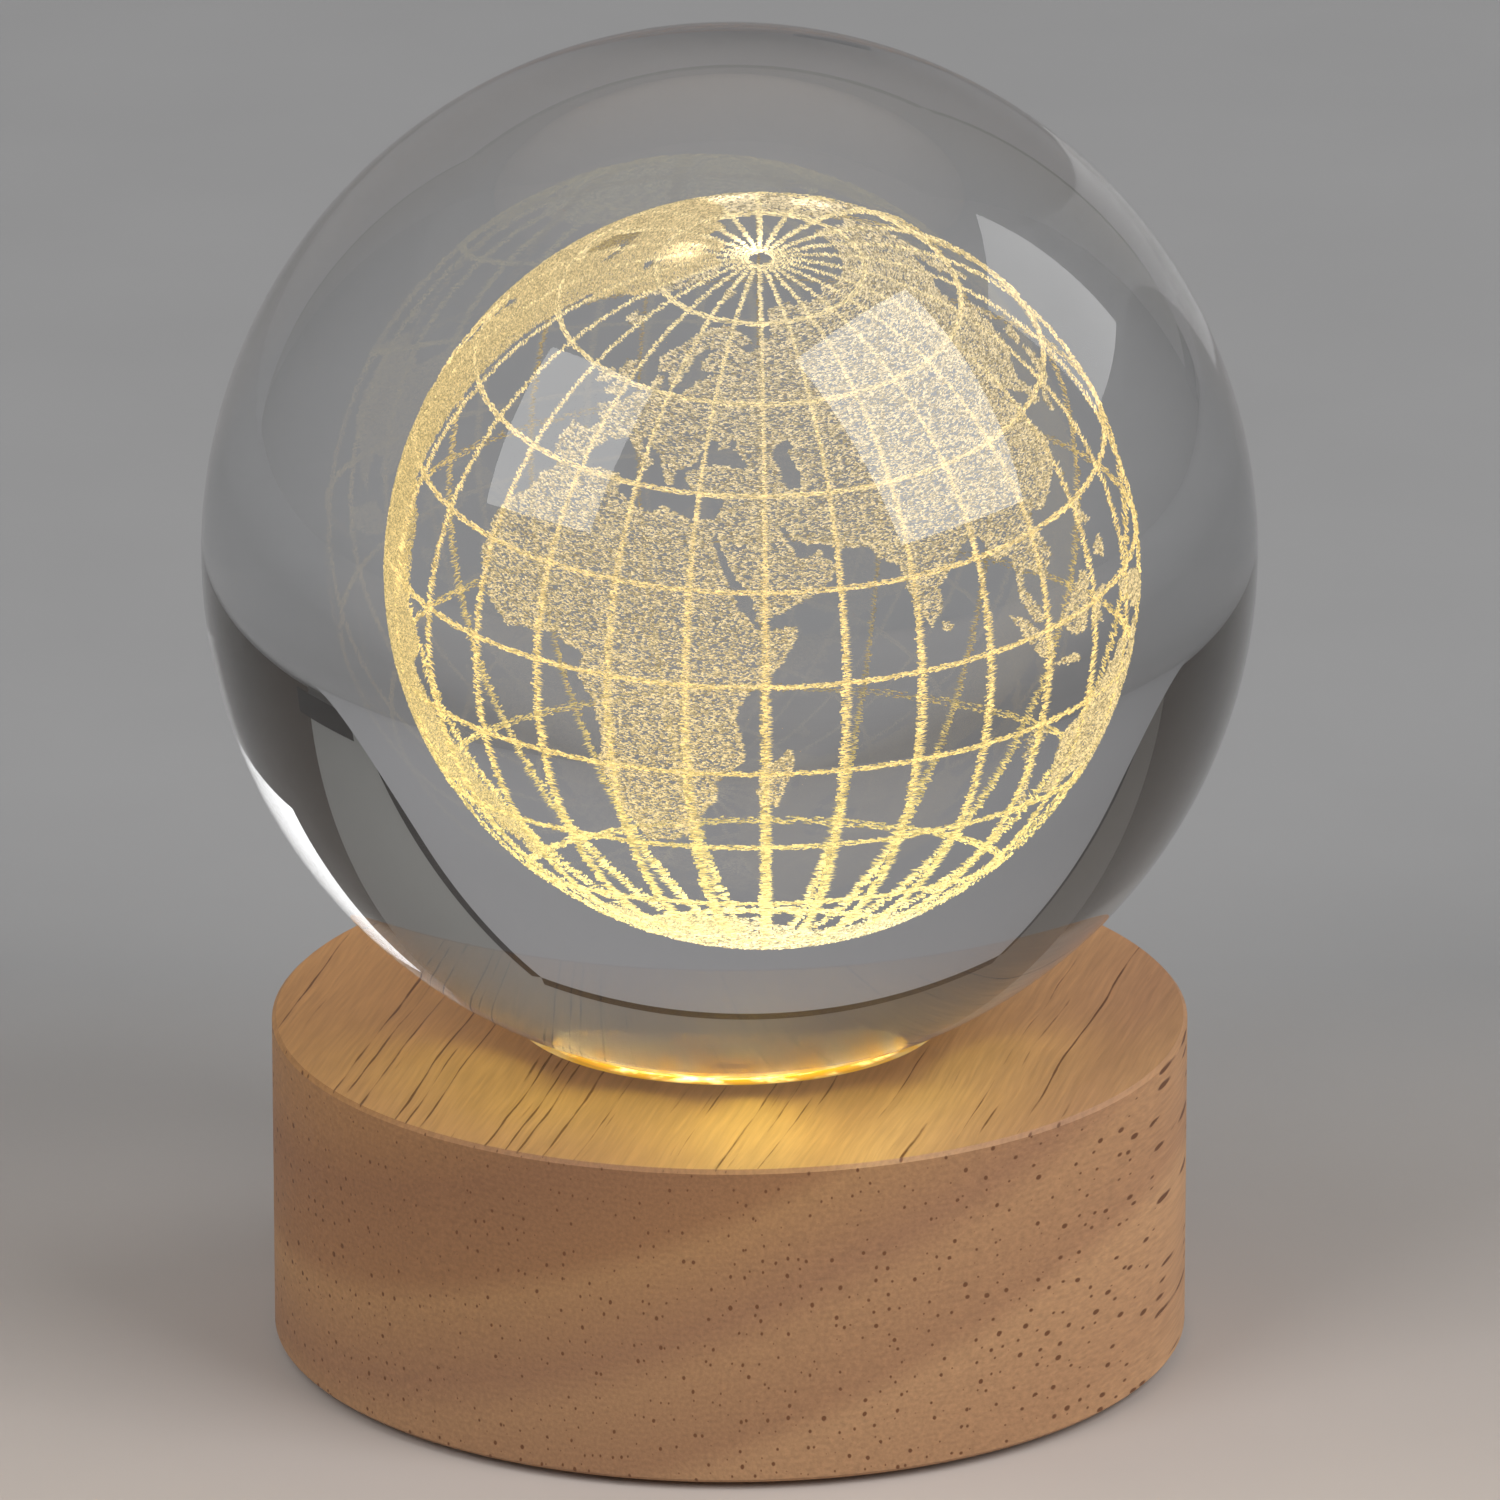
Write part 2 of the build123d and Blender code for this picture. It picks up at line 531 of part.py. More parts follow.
def patch(view, coast):
    """A thin piece of the globe's surface in the shape of a coast."""
    with BuildPart() as piece:
        add(spread(view, coast))
        add(land_outside, mode=Mode.INTERSECT)
        add(land_inside, mode=Mode.SUBTRACT)
    return piece.part


patches = [patch(view, coast) for view, coast in land_outlines.values()]
with BuildPart() as engraved_land:
    add(patches)
    add(spread(*caspian_sea), mode=Mode.SUBTRACT)

# Round light board under the well
with BuildPart() as light_board:
    with BuildSketch(Plane.XY.offset(light_board_bottom)):
        Circle(light_board_radius)
        with Locations(*light_board_screw_places):
            Circle(screw_clear_radius, mode=Mode.SUBTRACT)
    extrude(amount=light_board_thickness)

light_places = [(0, 0)]
light_places += [on_circle(light_circle, 360 * i / light_circle_count) for i in range(light_circle_count)]
light_top = pocket_roof + light_height

# Light packages, each with a round hollow for its yellow face
with BuildPart() as light_packages:
    with BuildSketch(Plane.XY.offset(pocket_roof)):
        with Locations(*light_places):
            Rectangle(light_size, light_size)
    extrude(amount=light_height)
    with BuildSketch(Plane.XY.offset(light_top - light_face_depth)):
        with Locations(*light_places):
            Circle(light_face_radius)
    extrude(amount=light_face_depth + overrun, mode=Mode.SUBTRACT)

with BuildPart() as light_faces:
    with BuildSketch(Plane.XY.offset(light_top - light_face_depth)):
        with Locations(*light_places):
            Circle(light_face_radius)
    extrude(amount=light_face_depth)

# Chip resistors between the lights
chip_places = [on_circle(chip_circle, chip_first_angle + i * chip_angle_step) for i in range(chip_count)]
with BuildPart() as chip_resistors:
    with BuildSketch(Plane.XY.offset(pocket_roof)):
        with Locations(*chip_places):
            Rectangle(chip_length, chip_width)
    extrude(amount=chip_height)

# Board that carries the socket and the switch, with a tongue into the rear slot
with BuildPart() as control_board:
    with BuildSketch(Plane.XY.offset(control_board_bottom)):
        with Locations((-control_board_left, control_board_front)):
            Rectangle(control_board_left + control_board_right, control_board_depth, align=Align.MIN)
        with Locations((socket_x - control_tongue_width / 2, control_board_front)):
            Rectangle(control_tongue_width, socket_mouth_y - control_board_front, align=Align.MIN)
        with Locations(*control_screw_places):
            Circle(screw_clear_radius, mode=Mode.SUBTRACT)
        with GridLocations(pin_pitch, pin_pitch * 2, 3, 2) as pin_grid:
            pin_places = [
                (switch_x + spot.position.X, switch_rear_y - switch_size / 2 + spot.position.Y)
                for spot in pin_grid.local_locations
            ]
        with Locations(*pin_places):
            Rectangle(pin_width + screw_hole_fit, pin_width + screw_hole_fit, mode=Mode.SUBTRACT)
    extrude(amount=control_board_thickness)

# Power socket: bent metal shell, moulded tongue and contacts
socket_inner_width = socket_width - 2 * socket_wall
socket_inner_height = socket_height - 2 * socket_wall
with BuildPart() as socket_shell:
    with BuildSketch(Plane.XZ.offset(-socket_mouth_y)):
        with Locations((socket_x, socket_middle)):
            RectangleRounded(socket_width, socket_height, socket_corner_radius)
    extrude(amount=socket_depth)
    with BuildSketch(Plane.XZ.offset(-(socket_mouth_y + overrun))):
        with Locations((socket_x, socket_middle)):
            RectangleRounded(socket_inner_width, socket_inner_height, socket_corner_radius - socket_wall)
    extrude(amount=socket_depth - socket_wall + overrun, mode=Mode.SUBTRACT)

tongue_root_y = socket_mouth_y - socket_depth + socket_wall
with BuildPart() as socket_tongue:
    with BuildSketch(Plane.XZ.offset(-tongue_root_y)):
        with Locations((socket_x, socket_middle)):
            Rectangle(socket_tongue_width, socket_tongue_thickness)
    extrude(amount=-socket_tongue_depth)

with BuildPart() as socket_contacts:
    with BuildSketch(Plane.XY.offset(socket_middle - socket_tongue_thickness / 2)):
        with Locations((socket_x, tongue_root_y + socket_tongue_depth / 2)):
            with GridLocations(socket_contact_pitch, socket_tongue_depth, socket_contact_count, 1):
                Rectangle(socket_contact_width, socket_tongue_depth)
    extrude(amount=-socket_contact_thickness)

# Push switch body, open towards the rear where its plunger comes out
with BuildPart() as switch_body:
    with BuildSketch(Plane.XY.offset(control_board_top)):
        with Locations((switch_x, switch_rear_y)):
            Rectangle(switch_size, switch_size, align=(Align.CENTER, Align.MAX))
    extrude(amount=switch_size)
    with BuildSketch(Plane.XZ.offset(-(switch_rear_y + overrun))):
        with Locations((switch_x, switch_middle)):
            Rectangle(plunger_size + 2 * plunger_fit, plunger_size + 2 * plunger_fit)
    extrude(amount=plunger_inside + switch_travel + button_stop_gap + overrun, mode=Mode.SUBTRACT)

with BuildPart() as switch_pins:
    with BuildSketch(Plane.XY.offset(control_board_top)):
        with Locations(*pin_places):
            Rectangle(pin_width, pin_width)
    extrude(amount=-pin_drop)

# Button: a domed cap with a stop flange inside the wall, pressed on the switch's plunger
plunger_rear_y = button_front_y + plunger_grip
with BuildPart() as button_cap:
    with BuildSketch(Plane.XZ.offset(-button_front_y)):
        with Locations((switch_x, switch_middle)):
            Circle(button_flange_radius)
    extrude(amount=-button_flange_thickness)
    with BuildSketch(Plane.XZ.offset(-flange_rear_y)):
        with Locations((switch_x, switch_middle)):
            Circle(button_radius)
    extrude(amount=flange_rear_y - button_tip_y)
    fillet(button_cap.edges().filter_by(GeomType.CIRCLE).sort_by(Axis.Y)[-1], radius=button_edge_radius)
    with BuildSketch(Plane.XZ.offset(-(button_front_y - overrun))):
        with Locations((switch_x, switch_middle)):
            Rectangle(plunger_size, plunger_size)
    extrude(amount=-(plunger_grip + overrun), mode=Mode.SUBTRACT)

with BuildPart() as switch_plunger:
    with BuildSketch(Plane.XZ.offset(-(switch_rear_y - plunger_inside))):
        with Locations((switch_x, switch_middle)):
            Rectangle(plunger_size, plunger_size)
    extrude(amount=-(plunger_rear_y - switch_rear_y + plunger_inside))

# Moulded bottom cover with the posts of the control board
with BuildPart() as bottom_cover:
    with BuildSketch(Plane.XY.offset(cover_bottom)):
        Circle(cover_radius)
        with Locations(*cover_screw_places):
            Circle(screw_clear_radius, mode=Mode.SUBTRACT)
    extrude(amount=cover_thickness)
    with BuildSketch(Plane.XY.offset(cover_top)):
        with Locations(*control_screw_places):
            Circle(control_post_radius)
    extrude(amount=control_post_height)
    with BuildSketch(Plane.XY.offset(control_board_bottom)):
        with Locations(*control_screw_places):
            Circle(screw_radius)
    extrude(amount=control_board_thickness - control_screw_length, mode=Mode.SUBTRACT)
    with BuildSketch(Plane.XY.offset(cover_bottom)):
        with Locations(*cover_screw_places):
            Circle(screw_head_radius + screw_hole_fit)
    extrude(amount=screw_head_height, mode=Mode.SUBTRACT)

with BuildPart() as foot_pads:
    with BuildSketch():
        with PolarLocations(foot_circle, foot_count, start_angle=180 / foot_count):
            Circle(foot_radius)
    extrude(amount=foot_thickness)

# Fasteners
with BuildPart() as cover_screws:
    for place in cover_screw_places:
        add(screw(place, cover_bottom + screw_head_height, cover_screw_length, True))

with BuildPart() as light_board_screws:
    for place in light_board_screw_places:
        add(screw(place, light_board_bottom, light_board_screw_length, True))

with BuildPart() as control_board_screws:
    for place in control_screw_places:
        add(screw(place, control_board_top, control_screw_length, False))


def lead_route(pad_x, side):
    """Corners of a lead from its pad on the control board to the light board's underside."""
    start = control_board_top + lead_radius
    low = cover_top + lead_low_height
    return [
        (pad_x, pad_y, start),
        (pad_x, pad_y - lead_spread * 2, start),
        (side * lead_spread, lead_front_y / 2, low),
        (side * lead_spread, lead_front_y, low),
        (side * lead_spread, lead_front_y, light_board_bottom),
    ]


def lead(pad_x, side):
    """A lead swept along straight runs joined by arcs."""
    points = [Vector(point) for point in lead_route(pad_x, side)]
    bends = []
    for before, corner, after in zip(points, points[1:], points[2:]):
        turn = (corner - before).get_angle(after - corner)
        shorter = min((corner - before).length, (after - corner).length)
        bends.append(lead_bend_share * shorter / tan(radians(turn / 2)))
    with BuildPart() as piece:
        with BuildLine() as path:
            FilletPolyline(*points, radius=bends)
        with BuildSketch(Plane(origin=path.line @ 0, z_dir=path.line % 0)):
            RegularPolygon(lead_radius, lead_sides, major_radius=False)
        sweep()
    return piece.part


with BuildPart() as red_lead:
    add(lead(red_pad_x, -1))

with BuildPart() as black_lead:
    add(lead(black_pad_x, 1))

# Solder round each lead's end under the light board
with BuildPart() as solder_joints:
    with BuildSketch(Plane.XY.offset(light_board_bottom)):
        with Locations((-lead_spread, lead_front_y), (lead_spread, lead_front_y)):
            Circle(solder_radius)
            RegularPolygon(lead_radius + solder_fit, lead_sides, major_radius=False, mode=Mode.SUBTRACT)
    extrude(amount=-solder_height)

pieces = {
    "wooden_base": wooden_base,
    "light_window": light_window,
    "seat_ring": seat_ring,
    "crystal_ball": crystal_ball,
    "engraved_meridians": engraved_meridians,
    "engraved_parallels": engraved_parallels,
    "engraved_land": engraved_land,
    "light_board": light_board,
    "light_packages": light_packages,
    "light_faces": light_faces,
    "chip_resistors": chip_resistors,
    "control_board": control_board,
    "socket_shell": socket_shell,
    "socket_tongue": socket_tongue,
    "socket_contacts": socket_contacts,
    "switch_body": switch_body,
    "switch_pins": switch_pins,
    "button_cap": button_cap,
    "switch_plunger": switch_plunger,
    "bottom_cover": bottom_cover,
    "foot_pads": foot_pads,
    "cover_screws": cover_screws,
    "light_board_screws": light_board_screws,
    "control_board_screws": control_board_screws,
    "red_lead": red_lead,
    "black_lead": black_lead,
    "solder_joints": solder_joints,
}

os.makedirs("parts", exist_ok=True)
for node, piece in pieces.items():
    piece.part.label = node
    export_step(piece.part, f"parts/{node}.step")
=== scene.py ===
# %% [markdown]
# # A crystal ball lamp
# A clear glass ball with a globe engraved inside it rests on a turned wooden base. A light in the base
# shines up through the ball, and the fine cracks of the engraving catch it. The construction is loaded as a
# fixed frame, and this lesson adds what the eye sees: the glass, the glowing marks, the wood and the light.

# %% Load the frame
import math

import bmesh
import bpy
import numpy as np
from mathutils import Matrix, Vector
from mathutils.bvhtree import BVHTree


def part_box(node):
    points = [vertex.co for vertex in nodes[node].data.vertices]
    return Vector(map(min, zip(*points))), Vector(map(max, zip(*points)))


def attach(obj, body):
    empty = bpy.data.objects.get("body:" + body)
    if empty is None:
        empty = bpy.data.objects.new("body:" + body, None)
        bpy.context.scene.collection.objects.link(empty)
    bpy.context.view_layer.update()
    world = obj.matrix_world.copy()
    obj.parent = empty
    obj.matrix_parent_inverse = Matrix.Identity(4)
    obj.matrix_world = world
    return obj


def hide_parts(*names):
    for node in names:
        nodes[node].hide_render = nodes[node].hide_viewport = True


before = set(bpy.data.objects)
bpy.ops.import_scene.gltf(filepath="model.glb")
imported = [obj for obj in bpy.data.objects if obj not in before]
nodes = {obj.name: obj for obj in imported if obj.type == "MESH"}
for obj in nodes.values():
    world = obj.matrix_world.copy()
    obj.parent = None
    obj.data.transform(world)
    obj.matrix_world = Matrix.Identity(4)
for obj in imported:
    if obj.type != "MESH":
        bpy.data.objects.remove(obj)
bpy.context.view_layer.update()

scene = bpy.context.scene
scene.view_settings.view_transform = "Standard"

# %% [markdown]
# ## Camera
# A long lens from about a metre away looks slightly down at the lamp. Its place comes from the outlines of
# the ball and the base, whose real sizes are known, so the picture has the same perspective. A long lens
# keeps the ball's outline round.

# %% Camera
camera_distance = 1.112
camera_height = 0.4306
camera_pitch = math.radians(19.05)
camera_yaw = math.radians(0.08)
camera_lens = 371.35

camera_data = bpy.data.cameras.new("camera")
camera_data.lens = camera_lens
camera_data.sensor_width = 36
camera = bpy.data.objects.new("camera", camera_data)
camera.location = (0, -camera_distance, camera_height)
camera.rotation_euler = (math.pi / 2 - camera_pitch, 0, -camera_yaw)
scene.collection.objects.link(camera)
scene.camera = camera
print("camera at", tuple(round(v, 3) for v in camera.location))

# %% [markdown]
# ## Small helpers
# A colour is written as the hex value that a paint chart gives, and turned into the linear light that
# shaders work in. One function adds a node to a material, with its settings and its links. Another makes a
# finished object from a bmesh, because every piece here ends that way.

# %% Helpers
MM = 0.001


def linear(hex_colour):
    """Linear red, green, blue and alpha of an sRGB hex colour."""
    channels = [int(hex_colour[i:i + 2], 16) / 255 for i in (1, 3, 5)]
    return tuple(c / 12.92 if c <= 0.04045 else ((c + 0.055) / 1.055) ** 2.4 for c in channels) + (1.0,)


def add(tree, kind, settings=None, links=None):
    """Adds a node. Settings name its properties or sockets, and links join its sockets to others."""
    node = tree.nodes.new(kind)
    for name, value in (settings or {}).items():
        if isinstance(name, int) or name in node.inputs:
            node.inputs[name].default_value = value
        else:
            setattr(node, name, value)
    for name, source in (links or {}).items():
        tree.links.new(source, node.inputs[name])
    return node


def distance_from_axis(tree, place):
    """A node that gives the distance from the lamp's upright axis."""
    flat = add(tree, "ShaderNodeVectorMath", {"operation": "MULTIPLY", 1: (1, 1, 0)},
               {0: place.outputs["Object"]})
    return add(tree, "ShaderNodeVectorMath", {"operation": "LENGTH"}, {0: flat.outputs["Vector"]})


def new_material(name):
    """A new material, its node tree and its shader."""
    material = bpy.data.materials.new(name)
    material.use_nodes = True
    return material, material.node_tree, material.node_tree.nodes["Principled BSDF"]


def finish_piece(mesh_builder, name, material, smooth=True):
    """Turns a bmesh into an object at the origin that wears a material."""
    mesh = bpy.data.meshes.new(name)
    mesh_builder.to_mesh(mesh)
    mesh_builder.free()
    mesh.polygons.foreach_set("use_smooth", [smooth] * len(mesh.polygons))
    piece = bpy.data.objects.new(name, mesh)
    piece.data.materials.append(material)
    scene.collection.objects.link(piece)
    return piece


def wear(node_names, material):
    """Gives CAD nodes a material."""
    for node_name in node_names:
        node = nodes[node_name]
        node.data.materials.clear()
        node.data.materials.append(material)


# %% [markdown]
# ## Rubberwood, turned and lightly oiled
# Rubberwood is pale and tan, with open pores that run along its fibres. Where the surface lies along the
# fibres, a pore shows as a dark wavy dash, and where it cuts across them, as a dot. A pattern drawn on each
# face would break at the edge, so the pores are long cells in the solid wood itself, and every face cuts
# them as a lathe does. Growth bands are soft shells round a pith that lies far outside the piece.

# %% Directions in the wood
fibre_angle = math.radians(-14)
fibre_drift = (1.5 * MM, 0, 0.6 * MM)
drift_cell = (9 * MM, 20 * MM, 9 * MM)
pith = (-54 * MM, 0, 160 * MM)
near_band, far_band = 134 * MM, 184 * MM

wood, tree, shader = new_material("rubberwood_turned_oiled")
place = add(tree, "ShaderNodeTexCoord")
turned = add(tree, "ShaderNodeMapping", {"Rotation": (0, 0, -fibre_angle)},
             {"Vector": place.outputs["Object"]})
slow = add(tree, "ShaderNodeMapping", {"Scale": tuple(1 / side for side in drift_cell)},
           {"Vector": turned.outputs["Vector"]})
drift = add(tree, "ShaderNodeTexNoise", {"Scale": 1.0, "Detail": 2.0}, {"Vector": slow.outputs["Vector"]})
fibres = add(tree, "ShaderNodeVectorMath", {"operation": "MULTIPLY_ADD", 1: fibre_drift},
             {0: drift.outputs["Color"], 2: turned.outputs["Vector"]})
from_pith = add(tree, "ShaderNodeVectorMath", {"operation": "SUBTRACT", 1: pith},
                {0: fibres.outputs["Vector"]})
across = add(tree, "ShaderNodeVectorMath", {"operation": "MULTIPLY", 1: (1, 0, 1)},
             {0: from_pith.outputs["Vector"]})
pith_distance = add(tree, "ShaderNodeVectorMath", {"operation": "LENGTH"}, {0: across.outputs["Vector"]})
growth = add(tree, "ShaderNodeMapRange", {"From Min": near_band, "From Max": far_band},
             {"Value": pith_distance.outputs["Value"]})
fibre_way = (-math.sin(fibre_angle), math.cos(fibre_angle), 0)
crossing = add(tree, "ShaderNodeVectorMath", {"operation": "DOT_PRODUCT", 1: fibre_way},
               {0: place.outputs["Normal"]})
cut_share = add(tree, "ShaderNodeMath", {"operation": "ABSOLUTE"}, {0: crossing.outputs["Value"]})
print("growth bands", round((far_band - near_band) / MM), "mm deep")

# %% [markdown]
# A pore is a long tube, so it is a cell of a flat pattern that is drawn out along the fibres. The fibres
# wander a little up and down, and where the flat top meets a tube it shows as a long wavy dash that fades
# at both ends. Tubes differ in width, and where they are cut across, the early wood at the upper left shows
# few.

# %% Pores
pore_cell = (0.85 * MM, 1.15 * MM)
break_cell = (1.5 * MM, 6 * MM, 1.5 * MM)
squeezed = add(tree, "ShaderNodeMapping",
               {"Scale": (1 / pore_cell[0], 1.0, 1 / pore_cell[1]), "Rotation": (math.pi / 2, 0, 0)},
               {"Vector": fibres.outputs["Vector"]})
cells = add(tree, "ShaderNodeTexVoronoi", {"voronoi_dimensions": "2D", "Scale": 1.0, "Randomness": 1.0},
            {"Vector": squeezed.outputs["Vector"]})
own_size = add(tree, "ShaderNodeMapRange", {"From Min": 0.15, "From Max": 0.85, "To Min": 0.0, "To Max": 0.2},
               {"Value": cells.outputs["Color"]})
early_loss = add(tree, "ShaderNodeMapRange",
                 {"From Min": 0.1, "From Max": 0.65, "To Min": -0.08, "To Max": -0.035},
                 {"Value": growth.outputs["Result"]})
richness = add(tree, "ShaderNodeMath", {"operation": "MULTIPLY"},
               {0: early_loss.outputs["Result"], 1: cut_share.outputs["Value"]})
short = add(tree, "ShaderNodeMapping", {"Scale": tuple(1 / side for side in break_cell)},
            {"Vector": turned.outputs["Vector"]})
breaks = add(tree, "ShaderNodeTexNoise", {"Scale": 1.0, "Detail": 3.0}, {"Vector": short.outputs["Vector"]})
open_share = add(tree, "ShaderNodeMapRange",
                 {"From Min": 0.3, "From Max": 0.7, "To Min": -0.06, "To Max": 0.06},
                 {"Value": breaks.outputs["Fac"]})
pore_size = add(tree, "ShaderNodeMath", {"operation": "ADD"},
                {0: own_size.outputs["Result"], 1: richness.outputs["Value"]})
broken_size = add(tree, "ShaderNodeMath", {"operation": "ADD"},
                  {0: pore_size.outputs["Value"], 1: open_share.outputs["Result"]})
inside = add(tree, "ShaderNodeMath", {"operation": "SUBTRACT"},
             {0: broken_size.outputs["Value"], 1: cells.outputs["Distance"]})
pore = add(tree, "ShaderNodeMapRange", {"From Min": -0.02, "From Max": 0.06},
           {"Value": inside.outputs["Value"]})

# %% [markdown]
# The tan changes from band to band, fine fibres break it up, and the cutter leaves faint rings round the
# side. Wood cut across its fibres drinks oil and looks browner than wood cut along them, and on top of that
# the top is painted lighter and the side darker, painted light and shade, so the front of the side is
# darker than the top.

# %% Bands, fibres and cutter marks
tan = add(tree, "ShaderNodeValToRGB", links={"Fac": growth.outputs["Result"]})
ramp = tan.color_ramp
ramp.elements[0].color = linear("#B28454")
ramp.elements[1].color = linear("#B98F68")
band_colours = ((0.12, "#A87B52"), (0.2, "#9C704E"), (0.34, "#A37650"), (0.38, "#B4885D"), (0.5, "#A67B5A"),
                (0.56, "#B48962"), (0.68, "#AA7F5C"), (0.72, "#BB9068"), (0.88, "#B18661"))
for share, colour in band_colours:
    ramp.elements.new(share).color = linear(colour)
fibre_cell = (0.3 * MM, 7 * MM, 0.3 * MM)
thread = add(tree, "ShaderNodeMapping", {"Scale": tuple(1 / side for side in fibre_cell)},
             {"Vector": fibres.outputs["Vector"]})
fine = add(tree, "ShaderNodeTexNoise", {"Scale": 1.0, "Detail": 3.0}, {"Vector": thread.outputs["Vector"]})
fine_tone = add(tree, "ShaderNodeMapRange",
                {"From Min": 0.25, "From Max": 0.75, "To Min": 0.84, "To Max": 1.16},
                {"Value": fine.outputs["Fac"]})
cutter_pitch = 0.5 * MM
wave_period = 0.314
cutter = add(tree, "ShaderNodeTexWave",
             {"bands_direction": "Z", "Scale": wave_period / cutter_pitch, "Distortion": 6.0, "Detail": 3.0,
              "Detail Scale": 0.4},
             {"Vector": place.outputs["Object"]})
cutter_tone = add(tree, "ShaderNodeMapRange", {"To Min": 0.985, "To Max": 1.015},
                  {"Value": cutter.outputs["Fac"]})
# Partly painted light and shade: the top is painted lighter and the front of the side darker
end_grain_and_light_tone = add(tree, "ShaderNodeMapRange", {"To Min": 1.12, "To Max": 0.79},
               {"Value": cut_share.outputs["Value"]})
surface_tone = add(tree, "ShaderNodeMath", {"operation": "MULTIPLY"},
                   {0: fine_tone.outputs["Result"], 1: cutter_tone.outputs["Result"]})
shade = add(tree, "ShaderNodeMath", {"operation": "MULTIPLY"},
            {0: surface_tone.outputs["Value"], 1: end_grain_and_light_tone.outputs["Result"]})
toned = add(tree, "ShaderNodeVectorMath", {"operation": "SCALE"},
            {0: tan.outputs["Color"], "Scale": shade.outputs["Value"]})

# %% [markdown]
# The sharp top edge is painted paler in broken patches: partly paler wood where its brown skin has rubbed
# off, partly a painted highlight along the rim. Near that edge the distance from the axis and the height
# together reach their largest sum, so the sum finds it.

# %% Pale top edge: wear and painted highlight
wood_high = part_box("wooden_base")[1]
edge_sum = wood_high.x + wood_high.z
wear_and_highlight_width = 0.45 * MM
spot = add(tree, "ShaderNodeSeparateXYZ", links={"Vector": place.outputs["Object"]})
axis_distance = distance_from_axis(tree, place)
reach = add(tree, "ShaderNodeMath", {"operation": "ADD"},
            {0: axis_distance.outputs["Value"], 1: spot.outputs["Z"]})
edge_patch_size = 1.1 * MM
edge_patches = add(tree, "ShaderNodeTexNoise", {"Scale": 1 / edge_patch_size, "Detail": 3.0},
            {"Vector": place.outputs["Object"]})
worn_and_lit_reach = add(tree, "ShaderNodeMath", {"operation": "MULTIPLY_ADD", 1: wear_and_highlight_width},
                 {0: edge_patches.outputs["Fac"], 2: reach.outputs["Value"]})
# Painted highlight and wear: a paler band along the top edge, broken in patches
worn_and_highlight = add(tree, "ShaderNodeMapRange",
           {"From Min": edge_sum + 0.14 * MM, "From Max": edge_sum + 0.24 * MM, "To Max": 0.4},
           {"Value": worn_and_lit_reach.outputs["Value"]})

# %% Wood surface
pored = add(tree, "ShaderNodeMixRGB", {"Color2": linear("#6B4224")},
            {"Fac": pore.outputs["Result"], "Color1": toned.outputs["Vector"]})
edge_worn_and_lit = add(tree, "ShaderNodeMixRGB", {"Color2": linear("#D9BC94")},
            {"Fac": worn_and_highlight.outputs["Result"], "Color1": pored.outputs["Color"]})
grooves = add(tree, "ShaderNodeMath", {"operation": "MULTIPLY_ADD", 1: 0.12},
              {0: cutter.outputs["Fac"], 2: fine.outputs["Fac"]})
relief = add(tree, "ShaderNodeMath", {"operation": "MULTIPLY_ADD", 1: -0.6},
             {0: pore.outputs["Result"], 2: grooves.outputs["Value"]})
bump = add(tree, "ShaderNodeBump", {"Strength": 0.5, "Distance": 0.06 * MM},
           {"Height": relief.outputs["Value"]})
tree.links.new(edge_worn_and_lit.outputs["Color"], shader.inputs["Base Color"])
tree.links.new(bump.outputs["Normal"], shader.inputs["Normal"])
shader.inputs["Roughness"].default_value = 0.5
shader.inputs["IOR"].default_value = 1.5
wear(["wooden_base"], wood)

# %% [markdown]
# ## Optical glass, ground and polished
# The ball is a solid piece of crown glass. It bends light so strongly that the engraving looks half as
# large again as it is, so nothing is faked: a true sphere with the true index shows the marks at their real
# place. The ball needs a very smooth surface, so it is a finely divided sphere in place of the frame's own.
# The glass is tinted a light grey, more than crown glass is, so the ball looks a shade darker than what
# stands behind it: painted shade that stands in for the lamp's shadow on the floor behind it.

# %% Glass ball
low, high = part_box("crystal_ball")
ball_centre = (low + high) / 2
ball_radius = (high.x - low.x) / 2

glass, tree, shader = new_material("crown_glass_polished")
# Painted shade: a grey tint, darker than clear crown glass
shader.inputs["Base Color"].default_value = linear("#ECEDEE")
shader.inputs["Transmission Weight"].default_value = 1.0
shader.inputs["Roughness"].default_value = 0.0
shader.inputs["IOR"].default_value = 1.517

shape = bmesh.new()
bmesh.ops.create_icosphere(shape, subdivisions=7, radius=ball_radius, matrix=Matrix.Translation(ball_centre))
glass_ball = finish_piece(shape, "glass_ball", glass)
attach(glass_ball, "ball")
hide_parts("crystal_ball")
print("glass ball radius in mm", round(ball_radius / MM, 2))

# %% [markdown]
# ## Engraving, fine cracks burst in the glass by a focused beam
# Each mark is a cloud of cracks a fifth of a millimetre across. Seen close, a line is a band of sparks and
# the land is a fine stipple of them, so both are made of many thousands of tiny splinters. They glow with
# the light from below: brightest and palest at the bottom of the globe, gold in its middle and softer
# towards its top. The beam came in from the front, so the cracks at the rear are finer, and their glow is
# painted weaker there, painted shade that dims the far side of the globe. Every crack also catches the
# light its own way, and near the crown, where the ball gathers the light again, a few patches flare up.

# %% Place of the globe
# The pole tips towards the viewer, and the meridian 43.3 degrees east faces them
globe_tilt = math.radians(4.4)
globe_turn = math.radians(-88.3 - 45.0)
ring_points = np.array([v.co for v in nodes["engraved_parallels"].data.vertices])
globe_centre = ring_points.mean(0)
globe_radius = 18.7 * MM
globe_turned = np.array(Matrix.Rotation(globe_tilt, 3, "X") @ Matrix.Rotation(globe_turn, 3, "Z"))
random = np.random.default_rng(7)
print("globe centre in mm", (globe_centre / MM).round(2))

# %% Crack materials
# Places of the patches from the globe's centre and their reach, in mm
glints = ((-0.5, -0.1, 18.7, 1.9), (-4.2, 0.0, 18.2, 1.5), (-1.6, 7.9, 16.9, 1.8), (2.4, 6.8, 17.2, 1.6))


